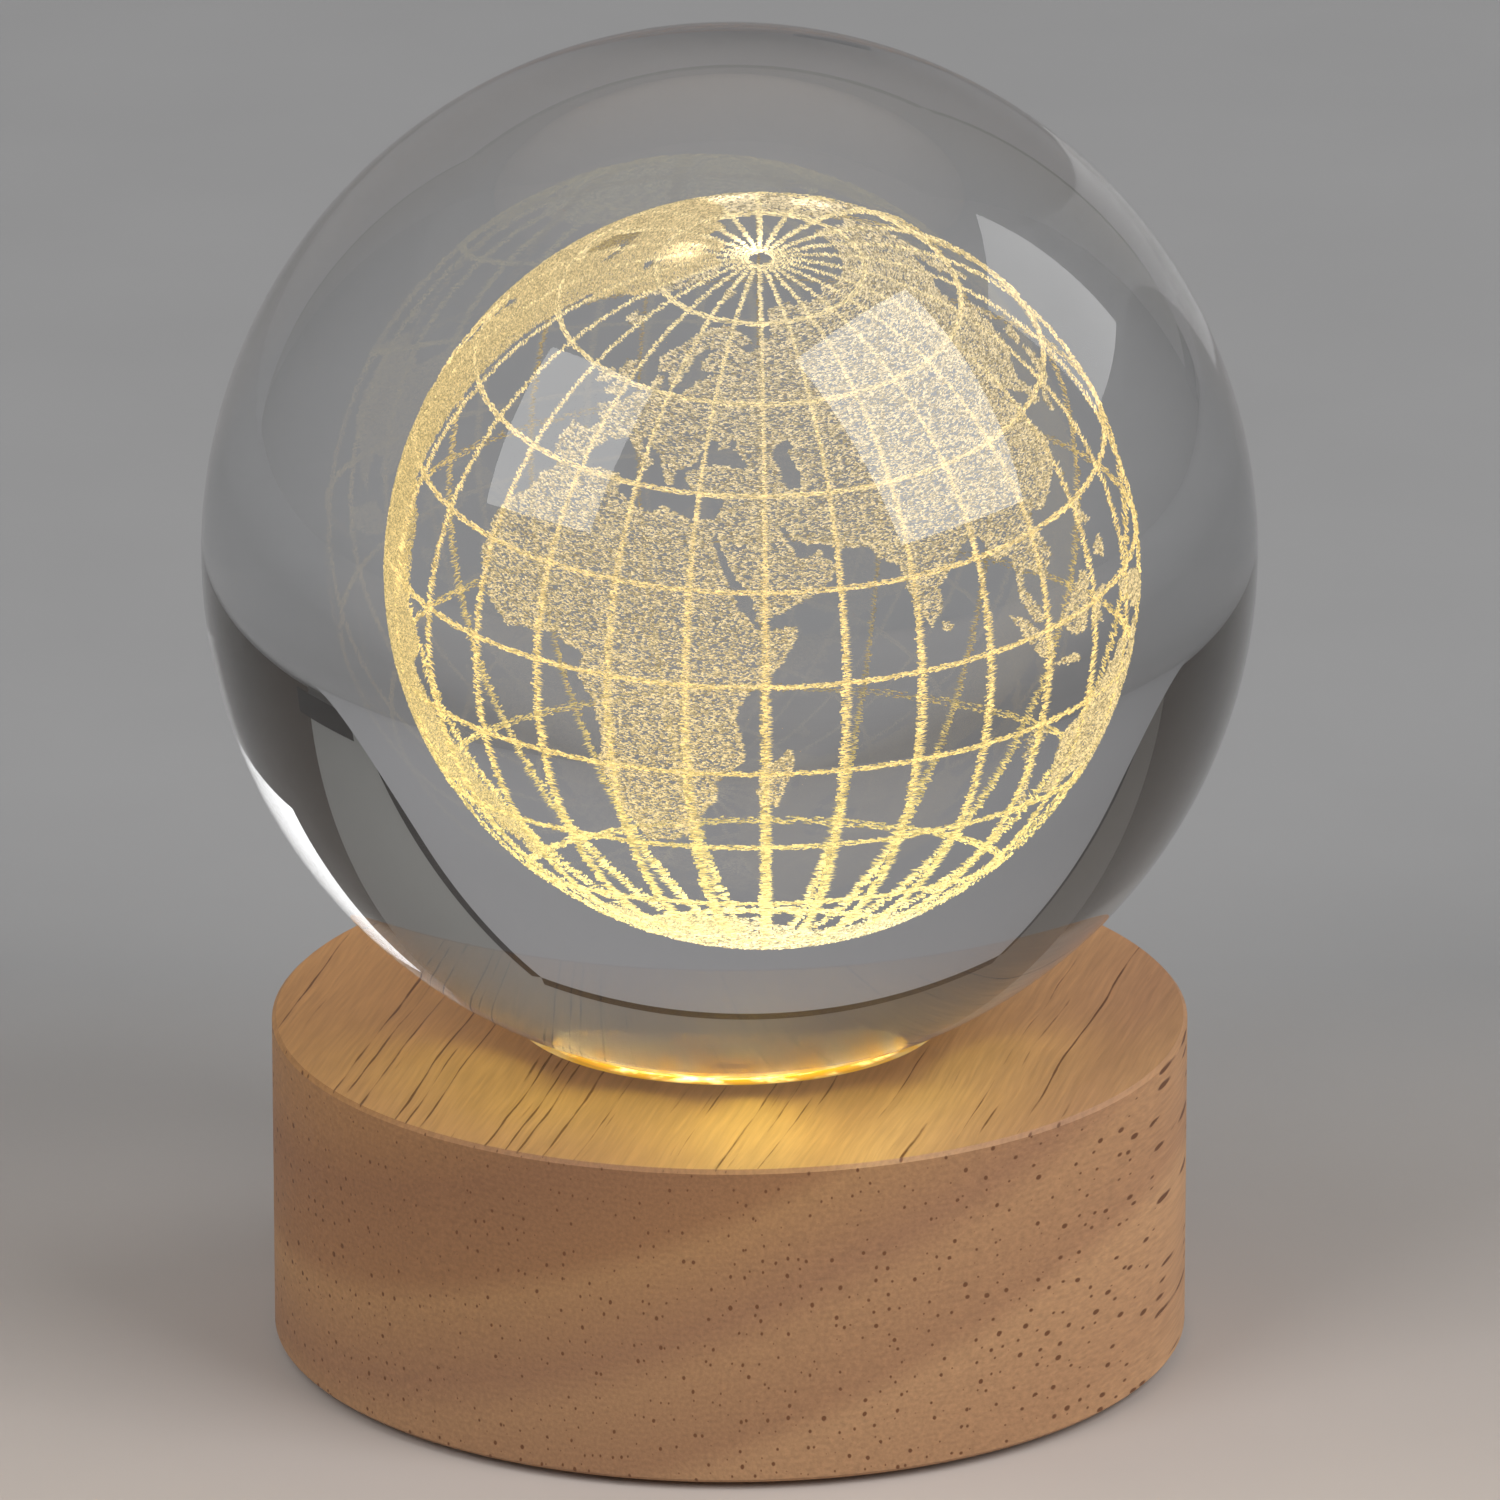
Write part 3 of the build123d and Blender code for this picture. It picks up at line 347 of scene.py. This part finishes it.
def cracked_glass(name, brightness, darkest, colours):
    """Cracks that glow by height, with painted shade that weakens them at the rear. Darkest is the share that
    the least lit crack keeps.
    """
    material, tree, shader = new_material(name)
    place = add(tree, "ShaderNodeTexCoord")
    spot = add(tree, "ShaderNodeSeparateXYZ", links={"Vector": place.outputs["Object"]})
    level = add(tree, "ShaderNodeMapRange",
                {"From Min": globe_centre[2] - globe_radius, "From Max": globe_centre[2] + globe_radius},
                {"Value": spot.outputs["Z"]})
    gold = add(tree, "ShaderNodeValToRGB", links={"Fac": level.outputs["Result"]})
    gold.color_ramp.elements[0].color = linear(colours[0])
    gold.color_ramp.elements[1].color = linear(colours[-1])
    for share, colour in zip((0.1, 0.3, 0.6), colours[1:-1]):
        gold.color_ramp.elements.new(share).color = linear(colour)
    lift = add(tree, "ShaderNodeMapRange", {"From Min": 0.0, "From Max": 0.14, "To Min": 1.5, "To Max": 1.03},
               {"Value": level.outputs["Result"]})
    fade_start, fade_end = (globe_centre[1] + share * globe_radius for share in (0.45, 0.85))
    # Painted shade: the glow falls to a third towards the rear of the globe
    rear = add(tree, "ShaderNodeMapRange",
               {"From Min": fade_start, "From Max": fade_end,
                "To Min": brightness, "To Max": 0.33 * brightness},
               {"Value": spot.outputs["Y"]})
    own = add(tree, "ShaderNodeNewGeometry")
    sparkle = add(tree, "ShaderNodeMapRange", {"To Min": darkest, "To Max": 2 - darkest},
                  {"Value": own.outputs["Random Per Island"]})
    raised = lift.outputs["Result"]
    for x, y, z, reach in glints:
        away = add(tree, "ShaderNodeVectorMath",
                   {"operation": "DISTANCE", 1: globe_centre + np.array((x, y, z)) * MM},
                   {0: place.outputs["Object"]})
        flare = add(tree, "ShaderNodeMapRange",
                    {"From Min": reach * MM, "From Max": 0.2 * reach * MM, "To Max": 1.3},
                    {"Value": away.outputs["Value"]})
        raised = add(tree, "ShaderNodeMath", {"operation": "ADD"},
                     {0: raised, 1: flare.outputs["Result"]}).outputs["Value"]
    lit = add(tree, "ShaderNodeMath", {"operation": "MULTIPLY"}, {0: raised, 1: rear.outputs["Result"]})
    final = add(tree, "ShaderNodeMath", {"operation": "MULTIPLY"},
                {0: lit.outputs["Value"], 1: sparkle.outputs["Result"]})
    tree.links.new(gold.outputs["Color"], shader.inputs["Emission Color"])
    tree.links.new(final.outputs["Value"], shader.inputs["Emission Strength"])
    shader.inputs["Base Color"].default_value = linear("#6F6858")
    shader.inputs["Roughness"].default_value = 0.6
    shader.inputs["IOR"].default_value = 1.5
    return material


line_glow = cracked_glass("glass_cracks_in_lines", 1.0, 0.5,
                          ("#FFEDA4", "#FFE892", "#FFDF88", "#FAD990", "#F2DEAC"))
land_glow = cracked_glass("glass_cracks_in_land", 0.74, 0.3,
                          ("#FFF4C0", "#FFE8A6", "#FADFA0", "#F0D8A4", "#E8D6B0"))
edge_glow = cracked_glass("glass_cracks_edge_on", 0.74, 0.45,
                          ("#FFF0B0", "#FFE698", "#FADD92", "#F2D590", "#E8D09C"))


# %% [markdown]
# A splinter is the simplest solid, with four three-sided faces. It is laid at its place along the globe's
# own east, turned a little by chance, and stretched to its length and thickness.

# %% Splinters
def globe_axes(east, north):
    """The directions east, north and outward, in the frame, at places given in radians."""
    zero = np.zeros_like(east)
    eastward = np.stack([-np.sin(east), np.cos(east), zero], 1)
    outward = np.stack([np.cos(north) * np.cos(east), np.cos(north) * np.sin(east), np.sin(north)], 1)
    northward = np.cross(outward, eastward)
    return [way @ globe_turned.T for way in (eastward, northward, outward)]


def splinters(east, north, depth, length, thickness, swing, material, name):
    """A piece made of one splinter at each place. Swing is how far, in radians, it may turn from east."""
    template = bmesh.new()
    bmesh.ops.create_cone(template, cap_ends=True, segments=3, radius1=0.6, radius2=0, depth=1.0)
    corners = np.array([v.co for v in template.verts])
    triangles = np.array([[v.index for v in face.verts] for face in template.faces])
    template.free()
    count = len(east)
    eastward, northward, outward = globe_axes(east, north)
    turn = random.uniform(-swing, swing, count)[:, None]
    along = np.cos(turn) * eastward + np.sin(turn) * northward
    beside = np.cos(turn) * northward - np.sin(turn) * eastward
    spin = random.uniform(0, 2 * math.pi, count)[:, None]
    side = np.cos(spin) * beside + np.sin(spin) * outward
    top = np.cos(spin) * outward - np.sin(spin) * beside
    long_scale = (length * random.uniform(0.6, 1.4, count))[:, None, None]
    thick_scale = (thickness * random.uniform(0.6, 1.4, count))[:, None, None]
    shape = (corners[:, 2, None] * along[:, None, :] * long_scale
             + (corners[:, 0, None] * side[:, None, :] + corners[:, 1, None] * top[:, None, :]) * thick_scale)
    places = globe_centre + outward * (globe_radius + depth)[:, None]
    points = (places[:, None, :] + shape).reshape(-1, 3)
    faces = (triangles[None] + (np.arange(count) * len(corners))[:, None, None]).reshape(-1, 3)
    mesh = bpy.data.meshes.new(name)
    mesh.from_pydata(points.tolist(), [], faces.tolist())
    piece = bpy.data.objects.new(name, mesh)
    piece.data.materials.append(material)
    scene.collection.objects.link(piece)
    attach(piece, "ball")
    print(name, count, "splinters")
    return piece


# %% [markdown]
# ## Grid lines
# The grid has a line every 15 degrees round the globe and every 18 degrees up it. The beam wrote every mark
# in short strokes along the globe's east, so a parallel is smooth and a meridian is a ladder of strokes
# with ragged ends. Meridians are broader low on the globe and narrow again where they meet, and all lines
# are finer and thinner at the rear.

# %% Stroke sizes
stroke_thickness = 0.085 * MM
line_depth = 0.2 * MM
rear_share = 0.35
parallel_angles = [math.radians(18 * i) for i in range(-4, 5)]
meridian_angles = [math.radians(15 * i) for i in range(24)]
pole_gap = math.radians(2.0)


def rear_scale(east, north):
    """One at the front and sides of the globe, falling to the rear share at its back."""
    rearness = np.clip((globe_axes(east, north)[2][:, 1] - 0.4) / 0.5, 0, 1)
    return 1 - (1 - rear_share) * rearness


def even_steps(span, step, strokes_per_step):
    """Places along a line of this angular span, evenly spread with a little chance."""
    count = int(span * globe_radius / step) * strokes_per_step
    return span / count * (np.arange(count) + random.uniform(0, 1, count)), count


def write_lines(easts, norths, length, swing, name):
    """Lays strokes of a given length at places on the lines."""
    east, north, length = (np.concatenate(part) for part in (easts, norths, length))
    size = rear_scale(east, north)
    depth = random.uniform(-0.5, 0.5, len(east)) * line_depth
    return splinters(east, north, depth, length * size, stroke_thickness * size, swing, line_glow, name)


# %% Parallels
parallel_width = 0.3 * MM
parallel_step = 0.1 * MM
parallel_stroke = 0.34 * MM
easts, norths, lengths = [], [], []
for angle in parallel_angles:
    along, count = even_steps(2 * math.pi * math.cos(angle), parallel_step, 3)
    easts.append(along / math.cos(angle))
    norths.append(angle + random.uniform(-0.5, 0.5, count) * parallel_width / globe_radius)
    lengths.append(np.full(count, parallel_stroke))
parallels = write_lines(easts, norths, lengths, math.radians(12), "globe_parallels")
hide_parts("engraved_parallels")

# %% Meridians
low_width, high_width = 0.6 * MM, 0.27 * MM
meridian_step = 0.09 * MM
for third, angles in enumerate((meridian_angles[:8], meridian_angles[8:16], meridian_angles[16:]), 1):
    easts, norths, lengths = [], [], []
    for angle in angles:
        along, count = even_steps(math.pi - 2 * pole_gap, meridian_step, 3)
        north = along - (math.pi / 2 - pole_gap)
        kept = random.uniform(0, 1, count) < np.where(north > 0, 1, 2.2 * np.cos(north))
        north, count = north[kept], int(kept.sum())
        width = high_width + (low_width - high_width) * np.clip(0.9 - 1.2 * np.sin(north), 0, 1)
        width *= np.where(north > 0, 1, np.clip(0.3 + 1.25 * np.cos(north), 0, 1))
        stroke = width * random.uniform(0.4, 1.0, count)
        shift = random.uniform(-0.6, 0.6, count) * (width - 0.6 * stroke)
        shift *= rear_scale(np.full(count, angle), north)
        easts.append(angle + shift / globe_radius / np.cos(north))
        norths.append(north)
        lengths.append(stroke)
    lines = write_lines(easts, norths, lengths, math.radians(18), f"globe_meridians_{third}")
    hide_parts("engraved_meridians")

# %% [markdown]
# ## Land
# The land is a stipple of the same cracks with a denser rim along its coast. Its outline comes from the
# frame: a ray from the globe's centre through each half degree tells whether it leaves through land. A
# little noise moves the edge, so that the coast is ragged as a real one is.

# %% Map of the land
steps_per_degree = 2
coast_noise = 0.42
land_tree = BVHTree.FromObject(nodes["engraved_land"], bpy.context.evaluated_depsgraph_get())
map_east, map_north = np.meshgrid(np.radians(np.arange(360 * steps_per_degree) / steps_per_degree),
                                  np.radians(np.arange(180 * steps_per_degree + 1) / steps_per_degree - 90))
ways = globe_axes(map_east.ravel(), map_north.ravel())[2]
centre = Vector(globe_centre)
found = [land_tree.ray_cast(centre, Vector(way))[0] is not None for way in ways]
land_map = np.array(found, float).reshape(map_east.shape)
land_map += coast_noise * random.uniform(-1, 1, land_map.shape)
print("land share of the globe", round(float(np.mean(found)), 3))


def on_land(east, north):
    """True where the map, read between its points, says land."""
    column = np.mod(np.degrees(east) * steps_per_degree, 360 * steps_per_degree)
    row = np.clip((np.degrees(north) + 90) * steps_per_degree, 0, 180 * steps_per_degree - 0.001)
    left, under = column.astype(int), row.astype(int)
    a, b = column - left, row - under
    left, right = left % land_map.shape[1], (left + 1) % land_map.shape[1]
    lower = land_map[under, left] * (1 - a) + land_map[under, right] * a
    upper = land_map[under + 1, left] * (1 - a) + land_map[under + 1, right] * a
    return lower * (1 - b) + upper * b > 0.5


# %% [markdown]
# The frame's coarse outline ends short of the polar coasts, so a cap of land joins them. The Americas lie
# at the left limb, where the eye meets the marks edge on as a solid golden band, so the writing is twice as
# dense and the gaps between their coasts and islands are closed.

# %% Land
land_stroke = 0.22 * MM
land_thickness = 0.085 * MM
edge_fineness = 0.72
coast_width = 0.28 * MM
filled_patches = ((50, 185, 67, 76), (292, 312, -35, 70), (250, 300, 64, 77))
for first, last, south, top in filled_patches:
    in_patch = ((map_east > math.radians(first)) & (map_east < math.radians(last))
                & (map_north > math.radians(south)) & (map_north < math.radians(top)))
    land_map = np.where(in_patch, 1 + coast_noise * random.uniform(-1, 1, land_map.shape), land_map)


def write_land(first, last, density, inland_share, fineness, material, parts, name):
    """Fills the land between two longitudes in degrees. Density is in candidates per square mm."""
    first_east, last_east = math.radians(first), math.radians(last)
    span = last_east - first_east
    count = int(2 * span * (globe_radius / MM)**2 * density)
    north = np.arcsin(random.uniform(-1, 1, count))
    east = random.uniform(first_east, last_east, count)
    land = on_land(east, north)
    east, north = east[land], north[land]
    step = coast_width / globe_radius
    sideways = step / np.cos(north)
    inland = (on_land(east + sideways, north) & on_land(east - sideways, north)
              & on_land(east, north + step) & on_land(east, north - step))
    kept = ~inland | (random.uniform(0, 1, len(east)) < inland_share)
    east, north = east[kept], north[kept]
    for number, part in enumerate(np.array_split(np.argsort(east), parts), 1):
        size = fineness * rear_scale(east[part], north[part])
        depth = random.uniform(-0.5, 0.5, len(part)) * line_depth
        piece = splinters(east[part], north[part], depth, land_stroke * size, land_thickness * size,
                          math.radians(25), material, f"{name}_{number}")
        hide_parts("engraved_land")


write_land(-30, 112, 155, 0.56, 1.0, land_glow, 3, "globe_land_near")
write_land(112, 158, 190, 0.65, 1.0, land_glow, 2, "globe_land_east")
write_land(158, 240, 120, 0.5, 1.0, land_glow, 1, "globe_land_far")
write_land(240, 330, 380, 0.9, edge_fineness, edge_glow, 5, "globe_land_west")

# %% [markdown]
# ## Seat, window and lights
# A clear acrylic ring carries the ball, over a frosted window and the warm lights of the base. Light leaks
# out round the ball there, and it is the brightest line of the lamp. The wall of the ring's bore glows most
# of all: thrown back inside the ball, its image is the golden lens above that line.

# %% Seat and lights
seat_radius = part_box("seat_ring")[1].x
acrylic, tree, shader = new_material("acrylic_ring_lit")
place = add(tree, "ShaderNodeTexCoord")
axis_distance = distance_from_axis(tree, place)
inward = add(tree, "ShaderNodeMapRange",
             {"From Min": seat_radius - 1.3 * MM, "From Max": seat_radius - 2.3 * MM},
             {"Value": axis_distance.outputs["Value"]})
ripple_size = 2.5 * MM
ripple = add(tree, "ShaderNodeTexNoise", {"Scale": 1 / ripple_size, "Detail": 3.0},
             {"Vector": place.outputs["Object"]})
flare = add(tree, "ShaderNodeMapRange", {"From Min": 0.5, "From Max": 0.72, "To Min": 0.8, "To Max": 6.5},
            {"Value": ripple.outputs["Fac"]})
brightness = add(tree, "ShaderNodeMath", {"operation": "MULTIPLY"},
                 {0: inward.outputs["Result"], 1: flare.outputs["Result"]})
bore_radius = min(math.hypot(v.co.x, v.co.y) for v in nodes["seat_ring"].data.vertices)
bore_glow = add(tree, "ShaderNodeMapRange",
                {"From Min": bore_radius + 0.4 * MM, "From Max": bore_radius + 0.1 * MM,
                 "To Min": 0.35, "To Max": 20.0},
                {"Value": axis_distance.outputs["Value"]})
leak = add(tree, "ShaderNodeMath", {"operation": "ADD"},
           {0: brightness.outputs["Value"], 1: bore_glow.outputs["Result"]})
amber = add(tree, "ShaderNodeValToRGB", links={"Fac": ripple.outputs["Fac"]})
amber.color_ramp.elements[0].position = 0.45
amber.color_ramp.elements[0].color = linear("#FFB91C")
amber.color_ramp.elements[1].position = 0.72
amber.color_ramp.elements[1].color = linear("#FFE79A")
tree.links.new(amber.outputs["Color"], shader.inputs["Emission Color"])
tree.links.new(leak.outputs["Value"], shader.inputs["Emission Strength"])
shader.inputs["Base Color"].default_value = linear("#B98A45")
shader.inputs["Roughness"].default_value = 0.2
shader.inputs["IOR"].default_value = 1.49
wear(["seat_ring"], acrylic)


def plain(name, colour, roughness, metallic=0.0, ior=1.5, grain=0.4, glow_strength=0.0):
    """A moulded, plated or painted finish: one colour, broken up by a faint uneven grain."""
    material, tree, shader = new_material(name)
    place = add(tree, "ShaderNodeTexCoord")
    speckle = add(tree, "ShaderNodeTexNoise", {"Scale": 1 / (grain * MM), "Detail": 3.0},
                  {"Vector": place.outputs["Object"]})
    rough = add(tree, "ShaderNodeMapRange", {"To Min": roughness * 0.85, "To Max": min(1.0, roughness * 1.2)},
                {"Value": speckle.outputs["Fac"]})
    bump = add(tree, "ShaderNodeBump", {"Strength": 0.15, "Distance": 0.03 * MM},
               {"Height": speckle.outputs["Fac"]})
    tree.links.new(rough.outputs["Result"], shader.inputs["Roughness"])
    tree.links.new(bump.outputs["Normal"], shader.inputs["Normal"])
    shader.inputs["Base Color"].default_value = linear(colour)
    shader.inputs["Metallic"].default_value = metallic
    if not metallic:
        shader.inputs["IOR"].default_value = ior
    if glow_strength:
        shader.inputs["Emission Color"].default_value = linear(colour)
        shader.inputs["Emission Strength"].default_value = glow_strength
    return material


wear(["light_window"], plain("acrylic_window_frosted", "#FFCE78", 0.5, ior=1.49, glow_strength=0.9))
wear(["light_faces"], plain("phosphor_faces_lit", "#FFD36A", 0.5, glow_strength=4.0))
wear(["light_board"], plain("board_white_mask", "#E9E9E4", 0.4))
wear(["light_packages", "switch_plunger"], plain("nylon_white_moulded", "#E8E6DF", 0.35, ior=1.53))
wear(["control_board"], plain("board_green_mask", "#174A2A", 0.35))

# %% [markdown]
# ## Plastic, metal and rubber
# The rest is small and mostly hidden: a moulded cover, a button, a plated socket, screws, leads and foot
# pads.

# %% Small parts
wear(["bottom_cover", "button_cap", "switch_body", "socket_tongue", "chip_resistors"],
     plain("abs_black_moulded", "#17171A", 0.42, ior=1.54, grain=0.25))
steel = plain("steel_nickel_plated", "#C9C8C4", 0.28, metallic=1.0, grain=0.6)
wear(["socket_shell", "cover_screws", "light_board_screws", "control_board_screws"], steel)
wear(["socket_contacts"], plain("brass_gold_plated", "#D9B45A", 0.22, metallic=1.0))
wear(["switch_pins", "solder_joints"], plain("solder_tin_bright", "#C4C4C0", 0.3, metallic=1.0))
wear(["foot_pads"], plain("rubber_foot_die_cut", "#1B1B1B", 0.85, ior=1.52, grain=0.3))
wear(["red_lead"], plain("pvc_lead_red", "#A81818", 0.4, ior=1.53))
wear(["black_lead"], plain("pvc_lead_black", "#141414", 0.4, ior=1.53))

# %% [markdown]
# ## Floor, backdrop and studio light
# The lamp stands on a pale board, which two metres behind it sweeps up into a grey sheet with a dark frame.
# Behind that is a wall, brown at its left and lit grey at its right. The board is painted darker to the
# lamp's sides and paler far behind it, painted shade and painted light. Glass shows whatever stands round
# it, upside down: through the ball the sheet fills the lower half, its frame is the thin dark line above
# the seat, the wall lies below that line, and the room is dark at both sides. The edges of sheet and wall
# are placed where rays traced through the ball at their images go.

# %% Floor and backdrop
floor_paint, tree, shader = new_material("floor_board_matt")
place = add(tree, "ShaderNodeTexCoord")
spot = add(tree, "ShaderNodeSeparateXYZ", links={"Vector": place.outputs["Object"]})
nearness = add(tree, "ShaderNodeMapRange", {"From Min": 0.08, "From Max": -0.14},
               {"Value": spot.outputs["Y"]})
paint = add(tree, "ShaderNodeMixRGB", {"Color1": linear("#9C9C9D"), "Color2": linear("#D8C8BC")},
            {"Fac": nearness.outputs["Result"]})
stain_size = 35 * MM
stains = add(tree, "ShaderNodeTexNoise", {"Scale": 1 / stain_size, "Detail": 4.0},
             {"Vector": place.outputs["Object"]})
stain_tone = add(tree, "ShaderNodeMapRange", {"To Min": 0.95, "To Max": 1.05},
                 {"Value": stains.outputs["Fac"]})
beside = add(tree, "ShaderNodeMath", {"operation": "ABSOLUTE"}, {0: spot.outputs["X"]})
# Painted shade: the board darker to the lamp's sides
shade = add(tree, "ShaderNodeMapRange", {"From Min": 0.08, "From Max": 0.2, "To Min": 1.0, "To Max": 0.74},
            {"Value": beside.outputs["Value"]})
# Painted light: the board paler far behind the lamp
far_tone = add(tree, "ShaderNodeMapRange", {"From Min": 0.6, "From Max": 1.5, "To Min": 1.0, "To Max": 1.45},
               {"Value": spot.outputs["Y"]})
board_tone = add(tree, "ShaderNodeMath", {"operation": "MULTIPLY"},
                 {0: far_tone.outputs["Result"], 1: shade.outputs["Result"]})
tone = add(tree, "ShaderNodeMath", {"operation": "MULTIPLY"},
           {0: stain_tone.outputs["Result"], 1: board_tone.outputs["Value"]})
toned = add(tree, "ShaderNodeVectorMath", {"operation": "SCALE"},
            {0: paint.outputs["Color"], "Scale": tone.outputs["Value"]})
tree.links.new(toned.outputs["Vector"], shader.inputs["Base Color"])
shader.inputs["Roughness"].default_value = 0.8

frame_paint = plain("backdrop_frame_black", "#060504", 0.7, grain=1.0)
sheet_paint = plain("backdrop_paper_grey", "#AEAEB0", 0.9, grain=3.0)
wall_paint, tree, shader = new_material("wall_paint_matt")
place = add(tree, "ShaderNodeTexCoord")
spot = add(tree, "ShaderNodeSeparateXYZ", links={"Vector": place.outputs["Object"]})
lit_side = add(tree, "ShaderNodeMapRange", {"From Min": -0.8, "From Max": 0.9}, {"Value": spot.outputs["X"]})
paint = add(tree, "ShaderNodeMixRGB", {"Color1": linear("#726D66"), "Color2": linear("#9F9F9B")},
            {"Fac": lit_side.outputs["Result"]})
tree.links.new(paint.outputs["Color"], shader.inputs["Base Color"])
shader.inputs["Roughness"].default_value = 0.9
floor_half = 2.6
backdrop_y = 2.0
sweep_radius = 0.5
foot_left, foot_right = -1.83, 1.31
corner_left, corner_right = (-1.25, 1.38), (0.75, 1.19)
wall_left, wall_foot_right, wall_top_right, wall_height, wall_y = -2.1, 1.88, 2.5, 4.0, 2.1


def staged(shape, name, material, smooth=False):
    """A finished piece that belongs to the studio and not to the lamp."""
    piece = finish_piece(shape, name, material, smooth)
    return piece


def upright(name, corners, y, material):
    """A flat upright panel with four corners, each given across and up."""
    shape = bmesh.new()
    shape.faces.new([shape.verts.new((x, y, z)) for x, z in corners])
    return staged(shape, name, material)


def bar(name, start, end, width):
    """A dark bar along one edge of the sheet, on its outer side."""
    across = Vector((end[1] - start[1], 0, start[0] - end[0])).normalized() * width
    outer = [(end[0] + across.x, end[1] + across.z), (start[0] + across.x, start[1] + across.z)]
    return upright(name, [start, end] + outer, backdrop_y, frame_paint)


shape = bmesh.new()
bmesh.ops.create_grid(shape, x_segments=1, y_segments=1, size=floor_half)
staged(shape, "floor", floor_paint)

shape = bmesh.new()
turns = np.radians(np.arange(0, 91, 5))
profile = [(backdrop_y - sweep_radius * (1 - math.sin(a)), sweep_radius * (1 - math.cos(a))) for a in turns]
rows = []
for y, z in profile:
    left = foot_left + (corner_left[0] - foot_left) * z / corner_left[1]
    right = foot_right + (corner_right[0] - foot_right) * z / corner_right[1]
    rows.append([shape.verts.new((x, y, z + 0.1 * MM)) for x in (left, right)])
rows.append([shape.verts.new((x, backdrop_y, z)) for x, z in (corner_left, corner_right)])
for lower, upper in zip(rows, rows[1:]):
    shape.faces.new((lower[0], lower[1], upper[1], upper[0]))
staged(shape, "backdrop_sheet", sheet_paint, smooth=True)
bar("backdrop_bar_top", corner_right, corner_left, 0.08)
bar("backdrop_bar_left", corner_left, (foot_left, 0), 0.035)
bar("backdrop_bar_right", (foot_right, 0), corner_right, 0.055)
wall_corners = [(wall_left, 0), (wall_foot_right, 0), (wall_top_right, wall_height), (wall_left, wall_height)]
upright("room_wall", wall_corners, wall_y, wall_paint)
case_corners = [(1.4, 0.04), (1.95, 0.04), (1.95, 0.17), (1.4, 0.15)]
upright("dark_case", case_corners, backdrop_y, frame_paint)

# %% [markdown]
# Soft boxes make the window-like marks on the glass, and they are placed where the mirror direction at
# those marks points. The brightness of a mark sets the brightness of its box, and its shape sets the size.
# The room is dim, so that the glass keeps its dark rim, and light that the ceiling throws back fills the
# shadows.

# %% Lights
aim = Vector(ball_centre)


def softbox(name, direction, distance, width, tall, radiance):
    """A rectangular light that faces the ball from a direction. Radiance 1 looks white."""
    lamp = bpy.data.lights.new(name, "AREA")
    lamp.shape = "RECTANGLE"
    lamp.size = width
    lamp.size_y = tall
    lamp.energy = radiance * math.pi * width * tall
    lamp_object = bpy.data.objects.new(name, lamp)
    way = Vector(direction).normalized()
    lamp_object.location = aim + way * distance
    lamp_object.rotation_euler = way.to_track_quat("Z", "Y").to_euler()
    scene.collection.objects.link(lamp_object)
    return lamp_object


def hide_from_glass(lamp_object):
    """The lamp lights matt surfaces, and no mirror image or view through the glass shows it."""
    lamp_object.visible_camera = False
    lamp_object.visible_glossy = False
    lamp_object.visible_transmission = False


softbox("softbox_front_right", (0.625, -0.445, 0.615), 2.2, 1.3, 1.83, 4.6)
softbox("softbox_rear_right", (0.79, 0.318, 0.523), 2.2, 0.9, 1.0, 2.4)
softbox("softbox_left", (-0.568, -0.572, 0.591), 2.2, 1.0, 1.3, 3.6)
ceiling_light = softbox("ceiling_bounce", (-0.6, -0.3, 0.9), 2.4, 2.2, 2.2, 1.0)
hide_from_glass(ceiling_light)

# %% [markdown]
# The light that goes round inside the ball comes out low at its front and falls on the wood there. Rays
# would need luck to find that way, so small warm lamps lie against the ball, facing the wood, and take its
# place. Each touches the ball's skin at its middle, so the gap under it widens outward as the real one
# does.

# %% Light on the wood in front of the ball
leak_length = 15 * MM
leak_reach = ball_radius + 0.3 * MM
# Degrees round the ball, degrees up from its lowest point, width, and power in watts
leaks = ((4, 39, 8 * MM, 0.0008), (4, 50, 8 * MM, 0.0013),
         (-20, 39, 18 * MM, 0.0008), (24, 39, 18 * MM, 0.0005),
         (-52, 39, 20 * MM, 0.00055), (58, 39, 20 * MM, 0.0003))
for turn, slope, width, energy in leaks:
    leak_lamp = bpy.data.lights.new("light_out_of_the_ball", "AREA")
    leak_lamp.shape = "ELLIPSE"
    leak_lamp.size = width
    leak_lamp.size_y = leak_length
    leak_lamp.energy = energy
    leak_lamp.color = linear("#F0FF84")[:3]
    leak_object = bpy.data.objects.new("light_out_of_the_ball", leak_lamp)
    angle, steepness = math.radians(turn), math.radians(slope)
    leak_radius = leak_reach * math.sin(steepness)
    leak_height = ball_centre.z - leak_reach * math.cos(steepness)
    leak_object.location = (leak_radius * math.sin(angle), -leak_radius * math.cos(angle), leak_height)
    leak_object.rotation_euler = (-steepness, 0, angle)
    scene.collection.objects.link(leak_object)
    hide_from_glass(leak_object)

# %% Room
world = bpy.data.worlds.new("studio")
scene.world = world
world.use_nodes = True
tree = world.node_tree
background = tree.nodes["Background"]
way = add(tree, "ShaderNodeTexCoord")
spot = add(tree, "ShaderNodeSeparateXYZ", links={"Vector": way.outputs["Generated"]})
frontward = add(tree, "ShaderNodeMapRange", {"From Min": 0.1, "From Max": -0.3}, {"Value": spot.outputs["Y"]})
upward = add(tree, "ShaderNodeMapRange", {"From Min": 0.52, "From Max": 0.56}, {"Value": spot.outputs["Z"]})
rear_room = add(tree, "ShaderNodeMixRGB", {"Color1": linear("#2C2620"), "Color2": linear("#6E6A65")},
                {"Fac": upward.outputs["Result"]})
room = add(tree, "ShaderNodeMixRGB", {"Color2": linear("#7A7A7A")},
           {"Fac": frontward.outputs["Result"], "Color1": rear_room.outputs["Color"]})
tree.links.new(room.outputs["Color"], background.inputs["Color"])
background.inputs["Strength"].default_value = 1.0
